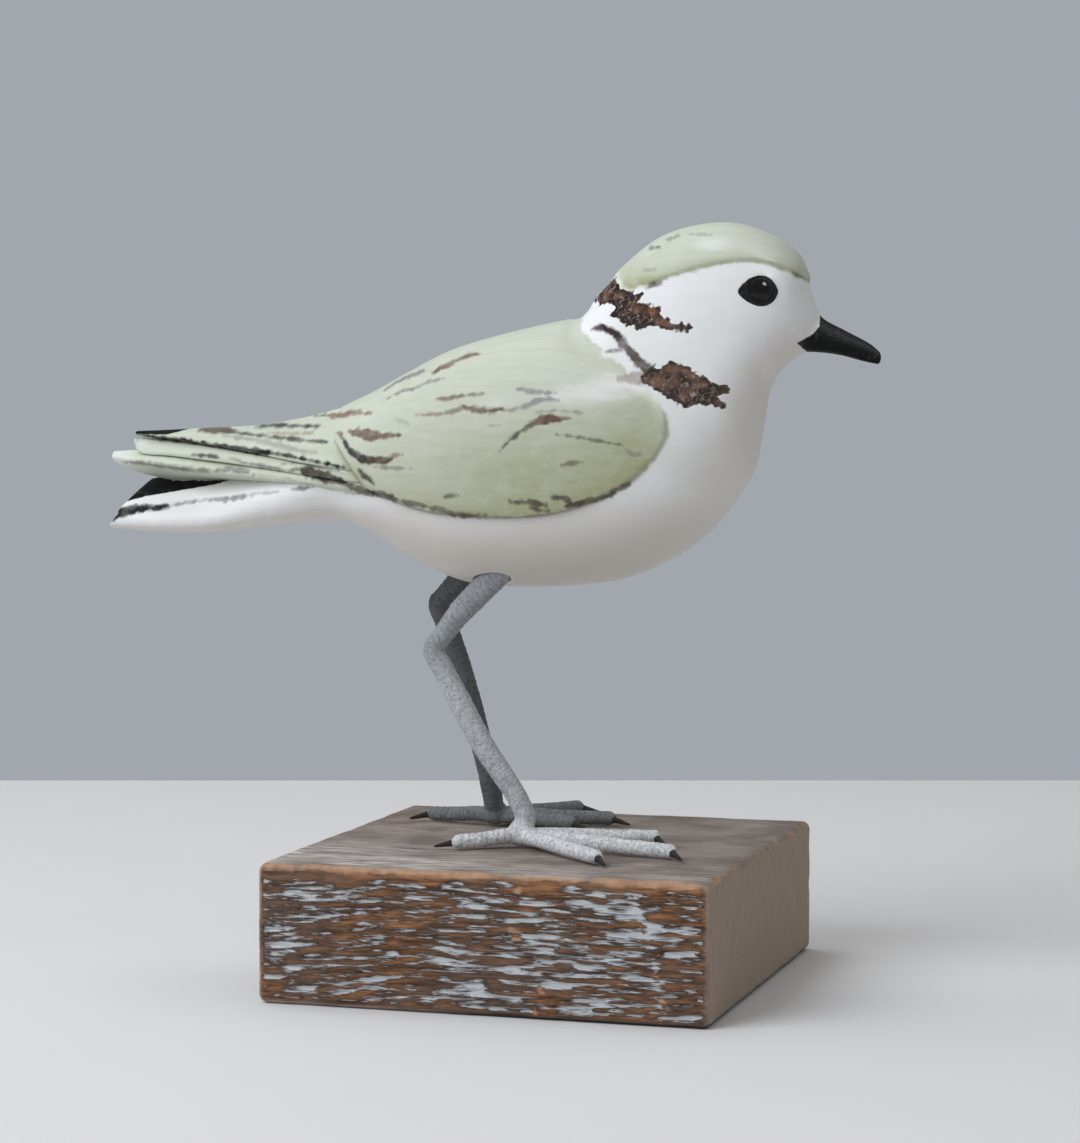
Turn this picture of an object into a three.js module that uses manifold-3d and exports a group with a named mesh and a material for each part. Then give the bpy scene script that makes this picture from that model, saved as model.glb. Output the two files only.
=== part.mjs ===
// A carved and painted wooden plover on two wrapped wire legs, standing on a square block of old plank.
// Millimetres, +Z up. The origin is the centre of the block's underside, and the bird looks towards +X.
import * as THREE from "three";
import { mergeVertices } from "three/addons/utils/BufferGeometryUtils.js";
import Module from "manifold-3d";

const wasm = await Module();
wasm.setup();

// Block
const blockSide = 100;
const blockHeight = 30.5;
const blockEdge = 2;            // worn round of its edges

// Bird as a whole
const birdLength = 174;         // end of the tail to tip of the bill
const birdDepth = 80.8;         // lowest place of the belly to the crown
const birdWidth = 50;           // across the breast
const bellyClearance = 57.3;    // top of the block to the belly
const birdShift = -13;          // middle of the bird's length from the middle of the block
const birdHeading = 8.5;        // degrees that the bird is turned on its block

// Carved layers, each as high as it stands above what it lies on
const wingProud = 1.2;
const capProud = 0.7;
const tailProud = 0.6;
const featherEdge = 0.9;        // thickness of a feather group's lower rim
const wingParting = 0.3;        // half of the slit between the two folded wings

// Eyes
const eyeRadius = 3.1;
const eyeProud = 1.3;           // how far the bead stands out of the face

// Legs
const legTopRadius = 3.1;
const legThighRadius = 2.8;
const legHockRadius = 2.3;      // where it is drawn in above the knee
const legKneeRadius = 2.35;
const legShankRadius = 2.5;
const legAnkleRadius = 2.2;
const footRadius = 3;
const toeRootRadius = 1.75;
const toeRadius = 1.55;
const clawLength = 5.5;
const clawRadius = 1;
const clawTipRadius = 0.35;
const socketDepth = 5;          // how far a leg goes into the belly
const clearance = 0.3;          // between pieces that fit or rest on each other

// Smoothness
const sectionSteps = 2;         // rings from one cross-section of the bird to the next
const sectionSides = 28;
const outlineSteps = 4;         // chords from one point of a carved edge to the next
const featherSteps = 9;
const featherSides = 3;         // faces from ridge to rim
const eyeSides = 14;
const eyeRings = 8;
const legSides = 10;
const legSteps = 18;
const toeSides = 6;
const toeSteps = 4;
const clawSides = 5;
const clawSteps = 2;
const ballRings = 6;
const blockEdgeSteps = 3;

const degrees = Math.PI / 180;
const upright = new THREE.Vector3(0, 0, 1);

// Cross-sections of the carving from tail to bill. top and bottom are places in the side view: percent of the
// bird's length from its tail, and percent of its depth above the belly. half is the half width in percent of
// the breast's. level is the share of the way from bottom to top where the section is widest. roof and keel
// are how full its upper and lower parts are: 2 is round, less is sharper and more is squarer.
const sections = [
  { top: [5.5, 28.7], bottom: [0.7, 15.5], half: 40, level: 0.22, roof: 1.2, keel: 3 },     // tail's end
  { top: [10.3, 30.2], bottom: [6.9, 14.7], half: 45, level: 0.24, roof: 1.2, keel: 3 },
  { top: [17.2, 31.8], bottom: [13.8, 14.7], half: 50, level: 0.27, roof: 1.3, keel: 2.8 },
  { top: [24.1, 38.5], bottom: [21.8, 16.6], half: 57, level: 0.33, roof: 1.5, keel: 2.5 },  // tail's root
  { top: [30.5, 47.6], bottom: [30.5, 18.1], half: 66, level: 0.4, roof: 1.8, keel: 2.2 },
  { top: [35.6, 52.8], bottom: [36.2, 12.9], half: 77, level: 0.48, roof: 2, keel: 2.1 },    // rump
  { top: [40.2, 58.2], bottom: [42.0, 5.6], half: 87, level: 0.48, roof: 2.1, keel: 2.1 },
  { top: [45.4, 63.9], bottom: [48.3, 0.7], half: 95, level: 0.47, roof: 2.1, keel: 2.1 },   // hips
  { top: [51.5, 67.9], bottom: [57.5, 0.0], half: 100, level: 0.46, roof: 2.1, keel: 2.1 },
  { top: [57.2, 70.8], bottom: [66.7, 2.0], half: 100, level: 0.45, roof: 2.1, keel: 2.1 },  // belly
  { top: [60.9, 72.6], bottom: [73.6, 7.7], half: 97, level: 0.43, roof: 2.1, keel: 2.1 },
  { top: [62.8, 75.7], bottom: [78.7, 15.6], half: 90, level: 0.4, roof: 2.1, keel: 2.1 },   // nape, breast
  { top: [64.3, 80.6], bottom: [82.2, 25.2], half: 80, level: 0.38, roof: 2.1, keel: 2.1 },
  { top: [67.2, 86.7], bottom: [84.3, 33.0], half: 71, level: 0.38, roof: 2.1, keel: 2.1 },
  { top: [71.8, 94.6], bottom: [85.1, 41.1], half: 65, level: 0.42, roof: 2.2, keel: 2.1 },
  { top: [76.6, 98.3], bottom: [85.6, 47.6], half: 62, level: 0.47, roof: 2.2, keel: 2.1 },  // crown
  { top: [81.6, 98.9], bottom: [85.9, 52.8], half: 60, level: 0.51, roof: 2.2, keel: 2.1 },
  { top: [86.1, 95.8], bottom: [86.6, 56.7], half: 56, level: 0.53, roof: 2.2, keel: 2.1 },  // eyes, throat
  { top: [89.2, 91.3], bottom: [87.6, 60.0], half: 48, level: 0.5, roof: 2.1, keel: 2.1 },
  { top: [90.6, 85.6], bottom: [88.7, 62.1], half: 38, level: 0.46, roof: 2, keel: 2 },      // forehead
  { top: [91.5, 79.5], bottom: [89.8, 63.6], half: 26, level: 0.45, roof: 2, keel: 2 },
  { top: [92.6, 74.0], bottom: [90.8, 64.6], half: 15, level: 0.45, roof: 2, keel: 2 },      // bill's root
  { top: [95.6, 70.3], bottom: [94.5, 63.9], half: 11.5, level: 0.45, roof: 1.9, keel: 2 },
  { top: [98.6, 66.9], bottom: [98.0, 61.9], half: 7.5, level: 0.45, roof: 1.9, keel: 2 },
  { top: [100, 64.3], bottom: [99.9, 61.1], half: 3.2, level: 0.45, roof: 2, keel: 2 },      // bill's tip
];

// Outlines of the raised layers in the side view, in the same percents
const wingLowerEdge = [
  [71.5, 55], [74.2, 47], [73.4, 37.5], [68.1, 27.2], [58.6, 20.7], [45.1, 21.3], [36, 27.5],
];
const wingUpperEdge = [[31.5, 40], [30, 62], [62.2, 80], [62.6, 71]];
const capLowerEdge = [
  [66, 78], [67.5, 81.2], [71.4, 83.9], [77.8, 87], [84, 88.5], [89, 86.3], [92, 83.5],
];
const capUpperEdge = [[94, 104], [64, 104]];
const tailLowerEdge = [[-1, 18.6], [9.5, 22.4], [19.8, 25], [28, 27.2]];
const tailUpperEdge = [[28, 42], [-1, 42]];

// The folded wing ends in three groups of feathers, each laid over the next. Along is in percent of the
// bird's length. ridge, rim and lining are the upper inner, the outer and the lower inner corner of the
// group's section, each as a share of the breast's half width outwards and a percent of the depth upwards.
const tertials = [
  { along: 36, ridge: [0, 52.6], rim: [78, 33], lining: [10, 30] },
  { along: 30.5, ridge: [0, 49.4], rim: [69, 34.4], lining: [8, 32] },
  { along: 25.5, ridge: [0, 46.7], rim: [56, 36], lining: [8, 33.5] },
  { along: 19.5, ridge: [1, 44.6], rim: [42, 38.3], lining: [6, 36] },
  { along: 11.5, ridge: [3, 43.6], rim: [26, 40.7], lining: [6, 39] },
  { along: 6.3, ridge: [6, 43], rim: [17, 41.9], lining: [8, 40.6] },
  { along: 3.8, ridge: [9, 42.8], rim: [12.5, 42.4], lining: [10, 41.6] },
];
const upperPrimaries = [
  { along: 36, ridge: [2, 42], rim: [79, 30], lining: [12, 26] },
  { along: 30.5, ridge: [2, 41], rim: [70.5, 31.4], lining: [12, 27] },
  { along: 23, ridge: [2, 40], rim: [57, 33.6], lining: [10, 30] },
  { along: 15.8, ridge: [3, 40], rim: [45, 35.6], lining: [8, 33] },
  { along: 9.2, ridge: [4, 40.6], rim: [33, 36.9], lining: [8, 35] },
  { along: 4.7, ridge: [8, 40.9], rim: [24, 37.3], lining: [12, 36.2] },
  { along: 3.7, ridge: [10, 41], rim: [18, 39.8], lining: [13, 38.8] },
];
const lowerPrimaries = [
  { along: 37, ridge: [2, 34], rim: [79, 27], lining: [30, 18] },
  { along: 30.5, ridge: [2, 35], rim: [71.5, 29.4], lining: [24, 22] },
  { along: 23, ridge: [2, 36.5], rim: [62, 31.1], lining: [16, 26] },
  { along: 16.1, ridge: [3, 37], rim: [51, 32.4], lining: [12, 28.6] },
  { along: 9.2, ridge: [4, 37.4], rim: [39, 34.1], lining: [10, 28.8] },
  { along: 4, ridge: [7, 37.5], rim: [28, 35.1], lining: [11, 31] },
  { along: 0.8, ridge: [12, 37.2], rim: [18, 35.8], lining: [14, 34.2] },
];
const featherCrown = 0.06;      // how far a group's face is crowned, as a share of its width
const fullRim = 40;             // a rim further out than this has its full thickness, in the same percents

// Where the eyes and the legs are set, in the same percents
const eyePlace = [85.3, 80.8];
const rightHip = { along: 51.2, across: -40 };
const leftHip = { along: 46.8, across: 40 };

// Stance of each leg: ankle and knee from the foot, how far thigh and shank bow backwards, and the toes by
// length, bearing and the turn of their claws, in the block's frame. The knee's height is a share of the
// belly's over the block.
const rightStance = {
  foot: [-2.3, -12],
  ankle: [0.6, 0.8, 3.8],
  shankBow: 0.8,
  knee: [-20.3, -0.2],
  kneeHeight: 0.76,
  thighBow: 0.9,
  toes: {
    hind: { length: 14.3, bearing: 214, clawTurn: -28 },
    inner: { length: 31, bearing: -42, clawTurn: -10 },
    middle: { length: 37.2, bearing: -13.2, clawTurn: -35 },
    outer: { length: 29.8, bearing: 23, clawTurn: -70 },
  },
};
const leftStance = {
  foot: [-18.4, 19],
  ankle: [0.3, -2.8, 4.5],
  shankBow: -1,
  knee: [-9.7, -11.5],
  kneeHeight: 0.915,
  thighBow: 1.3,
  toes: {
    hind: { length: 17, bearing: 166, clawTurn: 40 },
    inner: { length: 19, bearing: -8, clawTurn: -10 },
    middle: { length: 26.5, bearing: 17, clawTurn: -30 },
    outer: { length: 27.5, bearing: 62, clawTurn: -50 },
  },
};

// Thickness of a leg's wrapping along it: -1 is its top end, 0 the knee and 1 the foot
const legWrapping = [
  { place: -1, radius: legTopRadius },
  { place: -0.6, radius: legThighRadius },
  { place: -0.15, radius: legHockRadius },
  { place: 0.08, radius: legKneeRadius },
  { place: 0.3, radius: legShankRadius },
  { place: 1, radius: legAnkleRadius },
];
const thighStops = [0.45, 0.8];  // shares of the way from belly to knee where the thigh's bow is held
const shankStops = [0.12, 0.55]; // and from knee to ankle

// A toe leaves the foot high and comes down: share of its length, and height of its middle in toe radii
const toeArch = [[0.3, 1.45], [0.65, 1.15], [1, 1]];
const toeRootHeight = 0.75;      // in foot radii
const clawRoot = -0.1;           // a claw starts inside its toe, and is held level at its middle
const clawMiddle = 0.55;
const clawLevel = 1.1;           // in toe radii

// Helpers for solids

function toSolid(geometry) {
  geometry.deleteAttribute("normal");
  geometry.deleteAttribute("uv");
  const merged = mergeVertices(geometry, 1e-4);
  return new wasm.Manifold(new wasm.Mesh({
    numProp: 3,
    vertProperties: new Float32Array(merged.attributes.position.array),
    triVerts: new Uint32Array(merged.index.array),
  }));
}

function toGeometry(solid) {
  const mesh = solid.getMesh();
  const geometry = new THREE.BufferGeometry();
  geometry.setAttribute("position", new THREE.BufferAttribute(mesh.vertProperties, 3));
  geometry.setIndex(new THREE.BufferAttribute(mesh.triVerts, 1));
  return geometry;
}

function signedVolume(positions, index) {
  const corner = [0, 1, 2].map(() => new THREE.Vector3());
  let volume = 0;
  for (let i = 0; i < index.length; i += 3) {
    corner.forEach((point, k) => point.fromArray(positions, 3 * index[i + k]));
    volume += corner[0].dot(corner[1].cross(corner[2])) / 6;
  }
  return volume;
}

// A closed skin over rings that all have the same number of points, with a fan over each end
function skin(rings) {
  const sides = rings[0].length;
  const points = rings.flat();
  const index = [];
  for (let r = 0; r + 1 < rings.length; r += 1) {
    for (let k = 0; k < sides; k += 1) {
      const a = r * sides + k;
      const b = r * sides + (k + 1) % sides;
      index.push(a, b, b + sides, a, b + sides, a + sides);
    }
  }
  for (const [first, turn] of [[0, 1], [(rings.length - 1) * sides, 0]]) {
    const middle = new THREE.Vector3();
    for (let k = 0; k < sides; k += 1) {
      middle.addScaledVector(points[first + k], 1 / sides);
    }
    const hub = points.push(middle) - 1;
    for (let k = 0; k < sides; k += 1) {
      const pair = [first + k, first + (k + 1) % sides];
      index.push(hub, pair[turn], pair[1 - turn]);
    }
  }
  const positions = points.flatMap((point) => point.toArray());
  if (signedVolume(positions, index) < 0) {
    for (let i = 0; i < index.length; i += 3) {
      [index[i + 1], index[i + 2]] = [index[i + 2], index[i + 1]];
    }
  }
  const geometry = new THREE.BufferGeometry();
  geometry.setAttribute("position", new THREE.Float32BufferAttribute(positions, 3));
  geometry.setIndex(index);
  return geometry;
}

// A round bar along a curve, with its radius given along its length
function taperedBar(curve, radiusAt, sides, steps) {
  const frames = curve.computeFrenetFrames(steps, false);
  const rings = [];
  for (let i = 0; i <= steps; i += 1) {
    const middle = curve.getPointAt(i / steps);
    const radius = radiusAt(i / steps);
    const ring = [];
    for (let k = 0; k < sides; k += 1) {
      const angle = 2 * Math.PI * k / sides;
      ring.push(middle.clone()
        .addScaledVector(frames.normals[i], radius * Math.cos(angle))
        .addScaledVector(frames.binormals[i], radius * Math.sin(angle)));
    }
    rings.push(ring);
  }
  return skin(rings);
}

// The bird's own frame: u along it, v to its left, z up

function alongPlace(percent) {
  return birdShift + (percent / 100 - 0.5) * birdLength;
}

function upPlace(percent) {
  return blockHeight + bellyClearance + percent / 100 * birdDepth;
}

function acrossPlace(percent) {
  return percent / 100 * birdWidth / 2;
}

function sidePoint([along, up]) {
  return new THREE.Vector2(alongPlace(along), upPlace(up));
}

function smooth(before, from, to, after, t) {
  const slopeFrom = (to - before) / 2;
  const slopeTo = (after - from) / 2;
  const t2 = t * t;
  const t3 = t2 * t;
  return (2 * t3 - 3 * t2 + 1) * from + (t3 - 2 * t2 + t) * slopeFrom
    + (3 * t2 - 2 * t3) * to + (t3 - t2) * slopeTo;
}

// The values of a list of rows at a place between two of them, on a smooth curve through all
function between(rows, read, place) {
  const last = rows.length - 1;
  const i = Math.min(Math.floor(place), last - 1);
  const row = (k) => read(rows[Math.min(Math.max(k, 0), last)]);
  return smooth(row(i - 1), row(i), row(i + 1), row(i + 2), place - i);
}

// One ring of the carving, grown outwards by how proud it stands
function bodyRing(place, proud) {
  const read = (name, axis) => between(sections, (row) => row[name][axis], place);
  const top = sidePoint([read("top", 0), read("top", 1)]);
  const bottom = sidePoint([read("bottom", 0), read("bottom", 1)]);
  const rise = top.clone().sub(bottom).normalize();
  top.addScaledVector(rise, proud);
  bottom.addScaledVector(rise, -proud);
  const half = acrossPlace(between(sections, (row) => row.half, place)) + proud;
  const level = between(sections, (row) => row.level, place);
  const roof = between(sections, (row) => row.roof, place);
  const keel = between(sections, (row) => row.keel, place);
  const ring = [];
  for (let k = 0; k < sectionSides; k += 1) {
    const angle = 2 * Math.PI * k / sectionSides;
    const c = Math.cos(angle);
    const s = Math.sin(angle);
    const power = 2 / (s >= 0 ? roof : keel);
    const reach = s >= 0 ? 1 - level : -level;
    const point = bottom.clone().lerp(top, level + reach * Math.abs(s) ** power);
    ring.push(new THREE.Vector3(point.x, half * Math.sign(c) * Math.abs(c) ** power, point.y));
  }
  return ring;
}

function carvedMass(proud) {
  const rings = [];
  const count = (sections.length - 1) * sectionSteps;
  for (let i = 0; i <= count; i += 1) {
    rings.push(bodyRing(i / sectionSteps, proud));
  }
  return skin(rings);
}

// A slab straight through the bird, under an outline of the side view
function slabUnder(curvedEdge, straightEdge) {
  const outline = new THREE.Shape();
  const curved = curvedEdge.map(sidePoint);
  outline.moveTo(curved[0].x, curved[0].y);
  outline.splineThru(curved.slice(1));
  for (const corner of straightEdge.map(sidePoint)) {
    outline.lineTo(corner.x, corner.y);
  }
  const slab = new THREE.ExtrudeGeometry(outline, {
    depth: 2 * birdWidth,
    bevelEnabled: false,
    curveSegments: outlineSteps,
  });
  slab.rotateX(Math.PI / 2);
  slab.translate(0, birdWidth, 0);
  return slab;
}

function raisedLayer(proud, curvedEdge, straightEdge) {
  return toSolid(carvedMass(proud)).intersect(toSolid(slabUnder(curvedEdge, straightEdge)));
}

// One group of feathers on the left or the right wing
function featherGroup(rows, side) {
  const rings = [];
  const last = rows.length - 1;
  for (let i = 0; i <= featherSteps; i += 1) {
    const place = last * i / featherSteps;
    const along = alongPlace(between(rows, (row) => row.along, place));
    const corner = (name) => {
      const out = acrossPlace(between(rows, (row) => row[name][0], place));
      const up = upPlace(between(rows, (row) => row[name][1], place));
      return new THREE.Vector2(Math.max(out, wingParting), up);
    };
    const ridge = corner("ridge");
    const rim = corner("rim");
    const lining = corner("lining");
    const crown = featherCrown * rim.distanceTo(ridge);
    const outwards = new THREE.Vector2(ridge.y - rim.y, rim.x - ridge.x).normalize();
    const section = [];
    for (let k = 0; k <= featherSides; k += 1) {
      const share = k / featherSides;
      section.push(ridge.clone().lerp(rim, share).addScaledVector(outwards, 4 * crown * share * (1 - share)));
    }
    const edge = featherEdge * Math.min(1, rim.x / acrossPlace(fullRim));
    section.push(rim.clone().setY(rim.y - edge));
    section.push(lining);
    rings.push(section.map((point) => new THREE.Vector3(along, side * point.x, point.y)));
  }
  return toSolid(skin(rings));
}

const mass = carvedMass(0);

// Where a straight line first meets the carving
function firstTouch(origin, direction) {
  const target = new THREE.Mesh(mass, new THREE.MeshBasicMaterial({ side: THREE.DoubleSide }));
  return new THREE.Raycaster(origin, direction).intersectObject(target)[0].point;
}

function eyeCentre(side) {
  const place = sidePoint(eyePlace);
  const outside = new THREE.Vector3(place.x, side * birdWidth, place.y);
  const touch = firstTouch(outside, new THREE.Vector3(0, -side, 0));
  return touch.add(new THREE.Vector3(0, side * (eyeProud - eyeRadius), 0));
}

function hipTouch({ along, across }) {
  const below = new THREE.Vector3(alongPlace(along), acrossPlace(across), blockHeight);
  return firstTouch(below, upright);
}

function ball(radius, centre, around, high) {
  const geometry = new THREE.SphereGeometry(radius, around, high);
  geometry.translate(centre.x, centre.y, centre.z);
  return geometry;
}

// Legs, worked out in the block's frame

function legPoints(hip, stance) {
  const touch = hipTouch(hip).applyAxisAngle(upright, birdHeading * degrees);
  const foot = new THREE.Vector3(...stance.foot, blockHeight + clearance + footRadius);
  const ankle = foot.clone().add(new THREE.Vector3(...stance.ankle));
  const kneeHeight = blockHeight + stance.kneeHeight * bellyClearance;
  const knee = foot.clone().add(new THREE.Vector3(...stance.knee, 0)).setZ(kneeHeight);
  const top = touch.clone().add(touch.clone().sub(knee).setLength(socketDepth));
  return { top, touch, knee, ankle, foot };
}

function legPath({ top, touch, knee, ankle, foot }, stance) {
  const bowed = (from, to, bow) => (share) => from.clone().lerp(to, share)
    .add(new THREE.Vector3(-4 * bow * share * (1 - share), 0, 0));
  return new THREE.CatmullRomCurve3([
    top,
    touch,
    ...thighStops.map(bowed(touch, knee, stance.thighBow)),
    knee,
    ...shankStops.map(bowed(knee, ankle, stance.shankBow)),
    ankle,
    foot,
  ], false, "centripetal");
}

function wrappingRadius(place) {
  const next = Math.max(1, legWrapping.findIndex((stop) => stop.place >= place - 1e-9));
  const [from, to] = [legWrapping[next - 1], legWrapping[next]];
  const part = (place - from.place) / (to.place - from.place);
  return THREE.MathUtils.lerp(from.radius, to.radius, THREE.MathUtils.smoothstep(part, 0, 1));
}

function wrappedWire(hip, stance) {
  const points = legPoints(hip, stance);
  const thighLength = points.top.distanceTo(points.knee);
  const kneeShare = thighLength / (thighLength + points.knee.distanceTo(points.foot));
  const radiusAt = (share) => {
    const span = share < kneeShare ? kneeShare : 1 - kneeShare;
    return wrappingRadius((share - kneeShare) / span);
  };
  return taperedBar(legPath(points, stance), radiusAt, legSides, legSteps);
}

function toe(stance, { length, bearing, clawTurn }) {
  const floor = blockHeight + clearance;
  const heading = bearing * degrees;
  const bent = (bearing + clawTurn) * degrees;
  const start = new THREE.Vector3(...stance.foot, floor + footRadius * toeRootHeight);
  const forward = new THREE.Vector3(Math.cos(heading), Math.sin(heading), 0);
  const stops = toeArch.map(([share, height]) => start.clone()
    .addScaledVector(forward, share * length)
    .setZ(floor + height * toeRadius));
  const end = stops[stops.length - 1];
  const clawEnd = end.clone()
    .addScaledVector(new THREE.Vector3(Math.cos(bent), Math.sin(bent), 0), clawLength)
    .setZ(floor + clawTipRadius);
  const claw = new THREE.CatmullRomCurve3([
    end.clone().lerp(clawEnd, clawRoot),
    end.clone().lerp(clawEnd, clawMiddle).setZ(floor + clawLevel * toeRadius),
    clawEnd,
  ]);
  const arch = new THREE.CatmullRomCurve3([start, ...stops]);
  const toeAt = (share) => THREE.MathUtils.lerp(toeRootRadius, toeRadius, share);
  const clawAt = (share) => THREE.MathUtils.lerp(clawRadius, clawTipRadius, share);
  return toSolid(taperedBar(arch, toeAt, toeSides, toeSteps))
    .add(toSolid(ball(toeRadius, end, toeSides, toeSteps)))
    .add(toSolid(taperedBar(claw, clawAt, clawSides, clawSteps)));
}

function leg(hip, stance) {
  const foot = new THREE.Vector3(...stance.foot, blockHeight + clearance + footRadius);
  let solid = toSolid(wrappedWire(hip, stance)).add(toSolid(ball(footRadius, foot, legSides, ballRings)));
  for (const one of Object.values(stance.toes)) {
    solid = solid.add(toe(stance, one));
  }
  return solid;
}

function body() {
  let solid = toSolid(mass.clone())
    .add(raisedLayer(wingProud, wingLowerEdge, wingUpperEdge))
    .add(raisedLayer(capProud, capLowerEdge, capUpperEdge))
    .add(raisedLayer(tailProud, tailLowerEdge, tailUpperEdge));
  for (const side of [-1, 1]) {
    for (const rows of [tertials, upperPrimaries, lowerPrimaries]) {
      solid = solid.add(featherGroup(rows, side));
    }
    solid = solid.subtract(toSolid(ball(eyeRadius + clearance, eyeCentre(side), eyeSides, eyeRings)));
  }
  return solid;
}

// The hole in the belly that a leg's top stands in, in the bird's frame
function socket(hip, stance) {
  const { top, touch } = legPoints(hip, stance);
  const turnBack = (point) => point.clone().applyAxisAngle(upright, -birdHeading * degrees);
  const away = top.clone().sub(touch).normalize();
  const end = turnBack(top.clone().addScaledVector(away, clearance));
  const mouth = turnBack(touch.clone().addScaledVector(away, -2 * legTopRadius));
  const radius = legTopRadius + clearance;
  return toSolid(taperedBar(new THREE.LineCurve3(end, mouth), () => radius, 2 * legSides, 2));
}

function block() {
  const half = blockSide / 2 - blockEdge;
  const outline = new THREE.Shape();
  outline.moveTo(half, -half);
  outline.lineTo(half, half);
  outline.lineTo(-half, half);
  outline.lineTo(-half, -half);
  const geometry = new THREE.ExtrudeGeometry(outline, {
    depth: blockHeight - 2 * blockEdge,
    bevelThickness: blockEdge,
    bevelSize: blockEdge,
    bevelSegments: blockEdgeSteps,
  });
  geometry.translate(0, 0, blockEdge);
  return geometry;
}

// The finished pieces

const whiteWood = new THREE.MeshStandardMaterial({ color: 0xe6e7e6, roughness: 0.6, metalness: 0 });
const glossyBead = new THREE.MeshStandardMaterial({ color: 0x0b0b0c, roughness: 0.08, metalness: 0 });
const greyWire = new THREE.MeshStandardMaterial({ color: 0x85898c, roughness: 0.75, metalness: 0 });
const oldPlank = new THREE.MeshStandardMaterial({ color: 0x7b5c45, roughness: 0.85, metalness: 0 });

function named(name, geometry, material) {
  const mesh = new THREE.Mesh(geometry, material);
  mesh.name = name;
  return mesh;
}

const carving = body()
  .subtract(socket(rightHip, rightStance))
  .subtract(socket(leftHip, leftStance));

const bird = new THREE.Group();
bird.rotation.z = birdHeading * degrees;
bird.add(named("body", toGeometry(carving), whiteWood));
for (const [name, side] of [["right_eye", -1], ["left_eye", 1]]) {
  const eye = named(name, new THREE.SphereGeometry(eyeRadius, eyeSides, eyeRings), glossyBead);
  eye.position.copy(eyeCentre(side));
  bird.add(eye);
}

const decoy = new THREE.Group();
decoy.add(bird);
decoy.add(named("right_leg", toGeometry(leg(rightHip, rightStance)), greyWire));
decoy.add(named("left_leg", toGeometry(leg(leftHip, leftStance)), greyWire));
decoy.add(named("block", block(), oldPlank));

export default decoy;
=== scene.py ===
import math

import bpy
import numpy as np
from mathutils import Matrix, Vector


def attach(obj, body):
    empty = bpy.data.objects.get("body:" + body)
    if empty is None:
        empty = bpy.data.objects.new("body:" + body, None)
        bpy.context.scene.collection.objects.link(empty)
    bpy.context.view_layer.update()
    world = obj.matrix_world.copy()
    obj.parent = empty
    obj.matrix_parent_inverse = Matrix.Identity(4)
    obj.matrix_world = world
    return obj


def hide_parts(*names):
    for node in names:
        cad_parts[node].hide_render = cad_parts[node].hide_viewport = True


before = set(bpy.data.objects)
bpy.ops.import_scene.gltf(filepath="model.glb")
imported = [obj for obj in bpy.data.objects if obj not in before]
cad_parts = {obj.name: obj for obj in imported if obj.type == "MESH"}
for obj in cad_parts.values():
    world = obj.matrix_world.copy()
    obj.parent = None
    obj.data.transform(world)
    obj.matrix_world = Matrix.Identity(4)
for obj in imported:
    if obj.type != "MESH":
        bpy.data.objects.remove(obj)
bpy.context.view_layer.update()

MM = 0.001

# Block
BLOCK_SIDE = 100
BLOCK_HEIGHT = 30.5
BLOCK_EDGE = 2
TORN_DEPTH = 0.5    # of the hollows in the sawn faces
GRAIN_DEPTH = 0.1   # of the grain on the top, and half as deep on the ends
EDGE_WEAR = 0.3     # how much is knocked off the edges here and there

# Bird as a whole
BIRD_LENGTH = 174
BIRD_DEPTH = 80.8
BIRD_WIDTH = 50
BELLY_CLEARANCE = 57.3
BIRD_SHIFT = -13
BIRD_HEADING = math.radians(8.5)

# Carved layers
WING_PROUD = 1.2
CAP_PROUD = 0.7
TAIL_PROUD = 0.6
FEATHER_EDGE = 0.9
WING_PARTING = 0.3
KNIFE_WAVES = 0.05   # how unevenly the knife left the skin

# Eyes
EYE_RADIUS = 3.1
EYE_PROUD = 1.3
BEAD_GAP = 0.04   # round a bead that is pressed into its pocket

# Legs
FOOT_RADIUS = 3
TOE_ROOT_RADIUS = 1.75
TOE_RADIUS = 1.55
CLAW_LENGTH = 5.5
CLAW_RADIUS = 1
CLAW_TIP_RADIUS = 0.35
LEG_TOP_RADIUS = 3.1
SOCKET_DEPTH = 5
CLEARANCE = 0.3
WRAP_PITCH = 1.5     # one turn of the tape to the next
WRAP_HEIGHT = 0.14   # how far a turn's edge stands up
GRIT_HEIGHT = 0.06   # of the grit in the paint
DENT_DEPTH = 0.07    # of the tape's dents

# How fine the meshes are, with lengths in millimetres
DETAIL_GRID = 0.4          # of the map of carved edges and painted marks
SHORTEST_EDGE = 0.52       # of a face beside them
LONGEST_EDGE = 2.2         # of a face away from them
COARSER_LEFT = 1.3         # times as long on the left, which has fewer marks
MASS_EDGE = 2.5
TABLE_STEP = 0.3
FINE_ROWS = 2400           # of the carving's table, before they are set at equal steps
FINE_ROUND = 1440          # points round such a row
RING_POINTS = 480
FEATHER_RINGS = 220
FEATHER_POINTS = 240
CROWN_POINTS = 97          # across a feather, before they are set at equal steps
OUTLINE_STEPS = 16         # to a point of a carved edge
PATCH_STEPS = 8            # to a point of a smooth patch
MARK_STEPS = 4             # to a point of a mark
BEND_STEPS = 60            # from one stop of a bent wire to the next
CARVING_START = (13, 40)   # rows of the table to a row of faces, and faces round it, before they are split
FEATHER_START = (12, 24)
EYE_SIDES = 64
SOCKET_SIDES = 48
LEG_SIDES = 28
LEG_STEP = 0.4
CLAW_STEP = 0.3
LEG_SKIN = 0.27            # of the grid that the leg's bars are made one in
SHARP_FROM = math.radians(38)   # between faces, where the shading keeps an edge sharp
AT_A_TIME = 4000           # points of the skin compared with the whole leg at a time
BLOCK_STEPS = [200, 80, 92]

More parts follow.
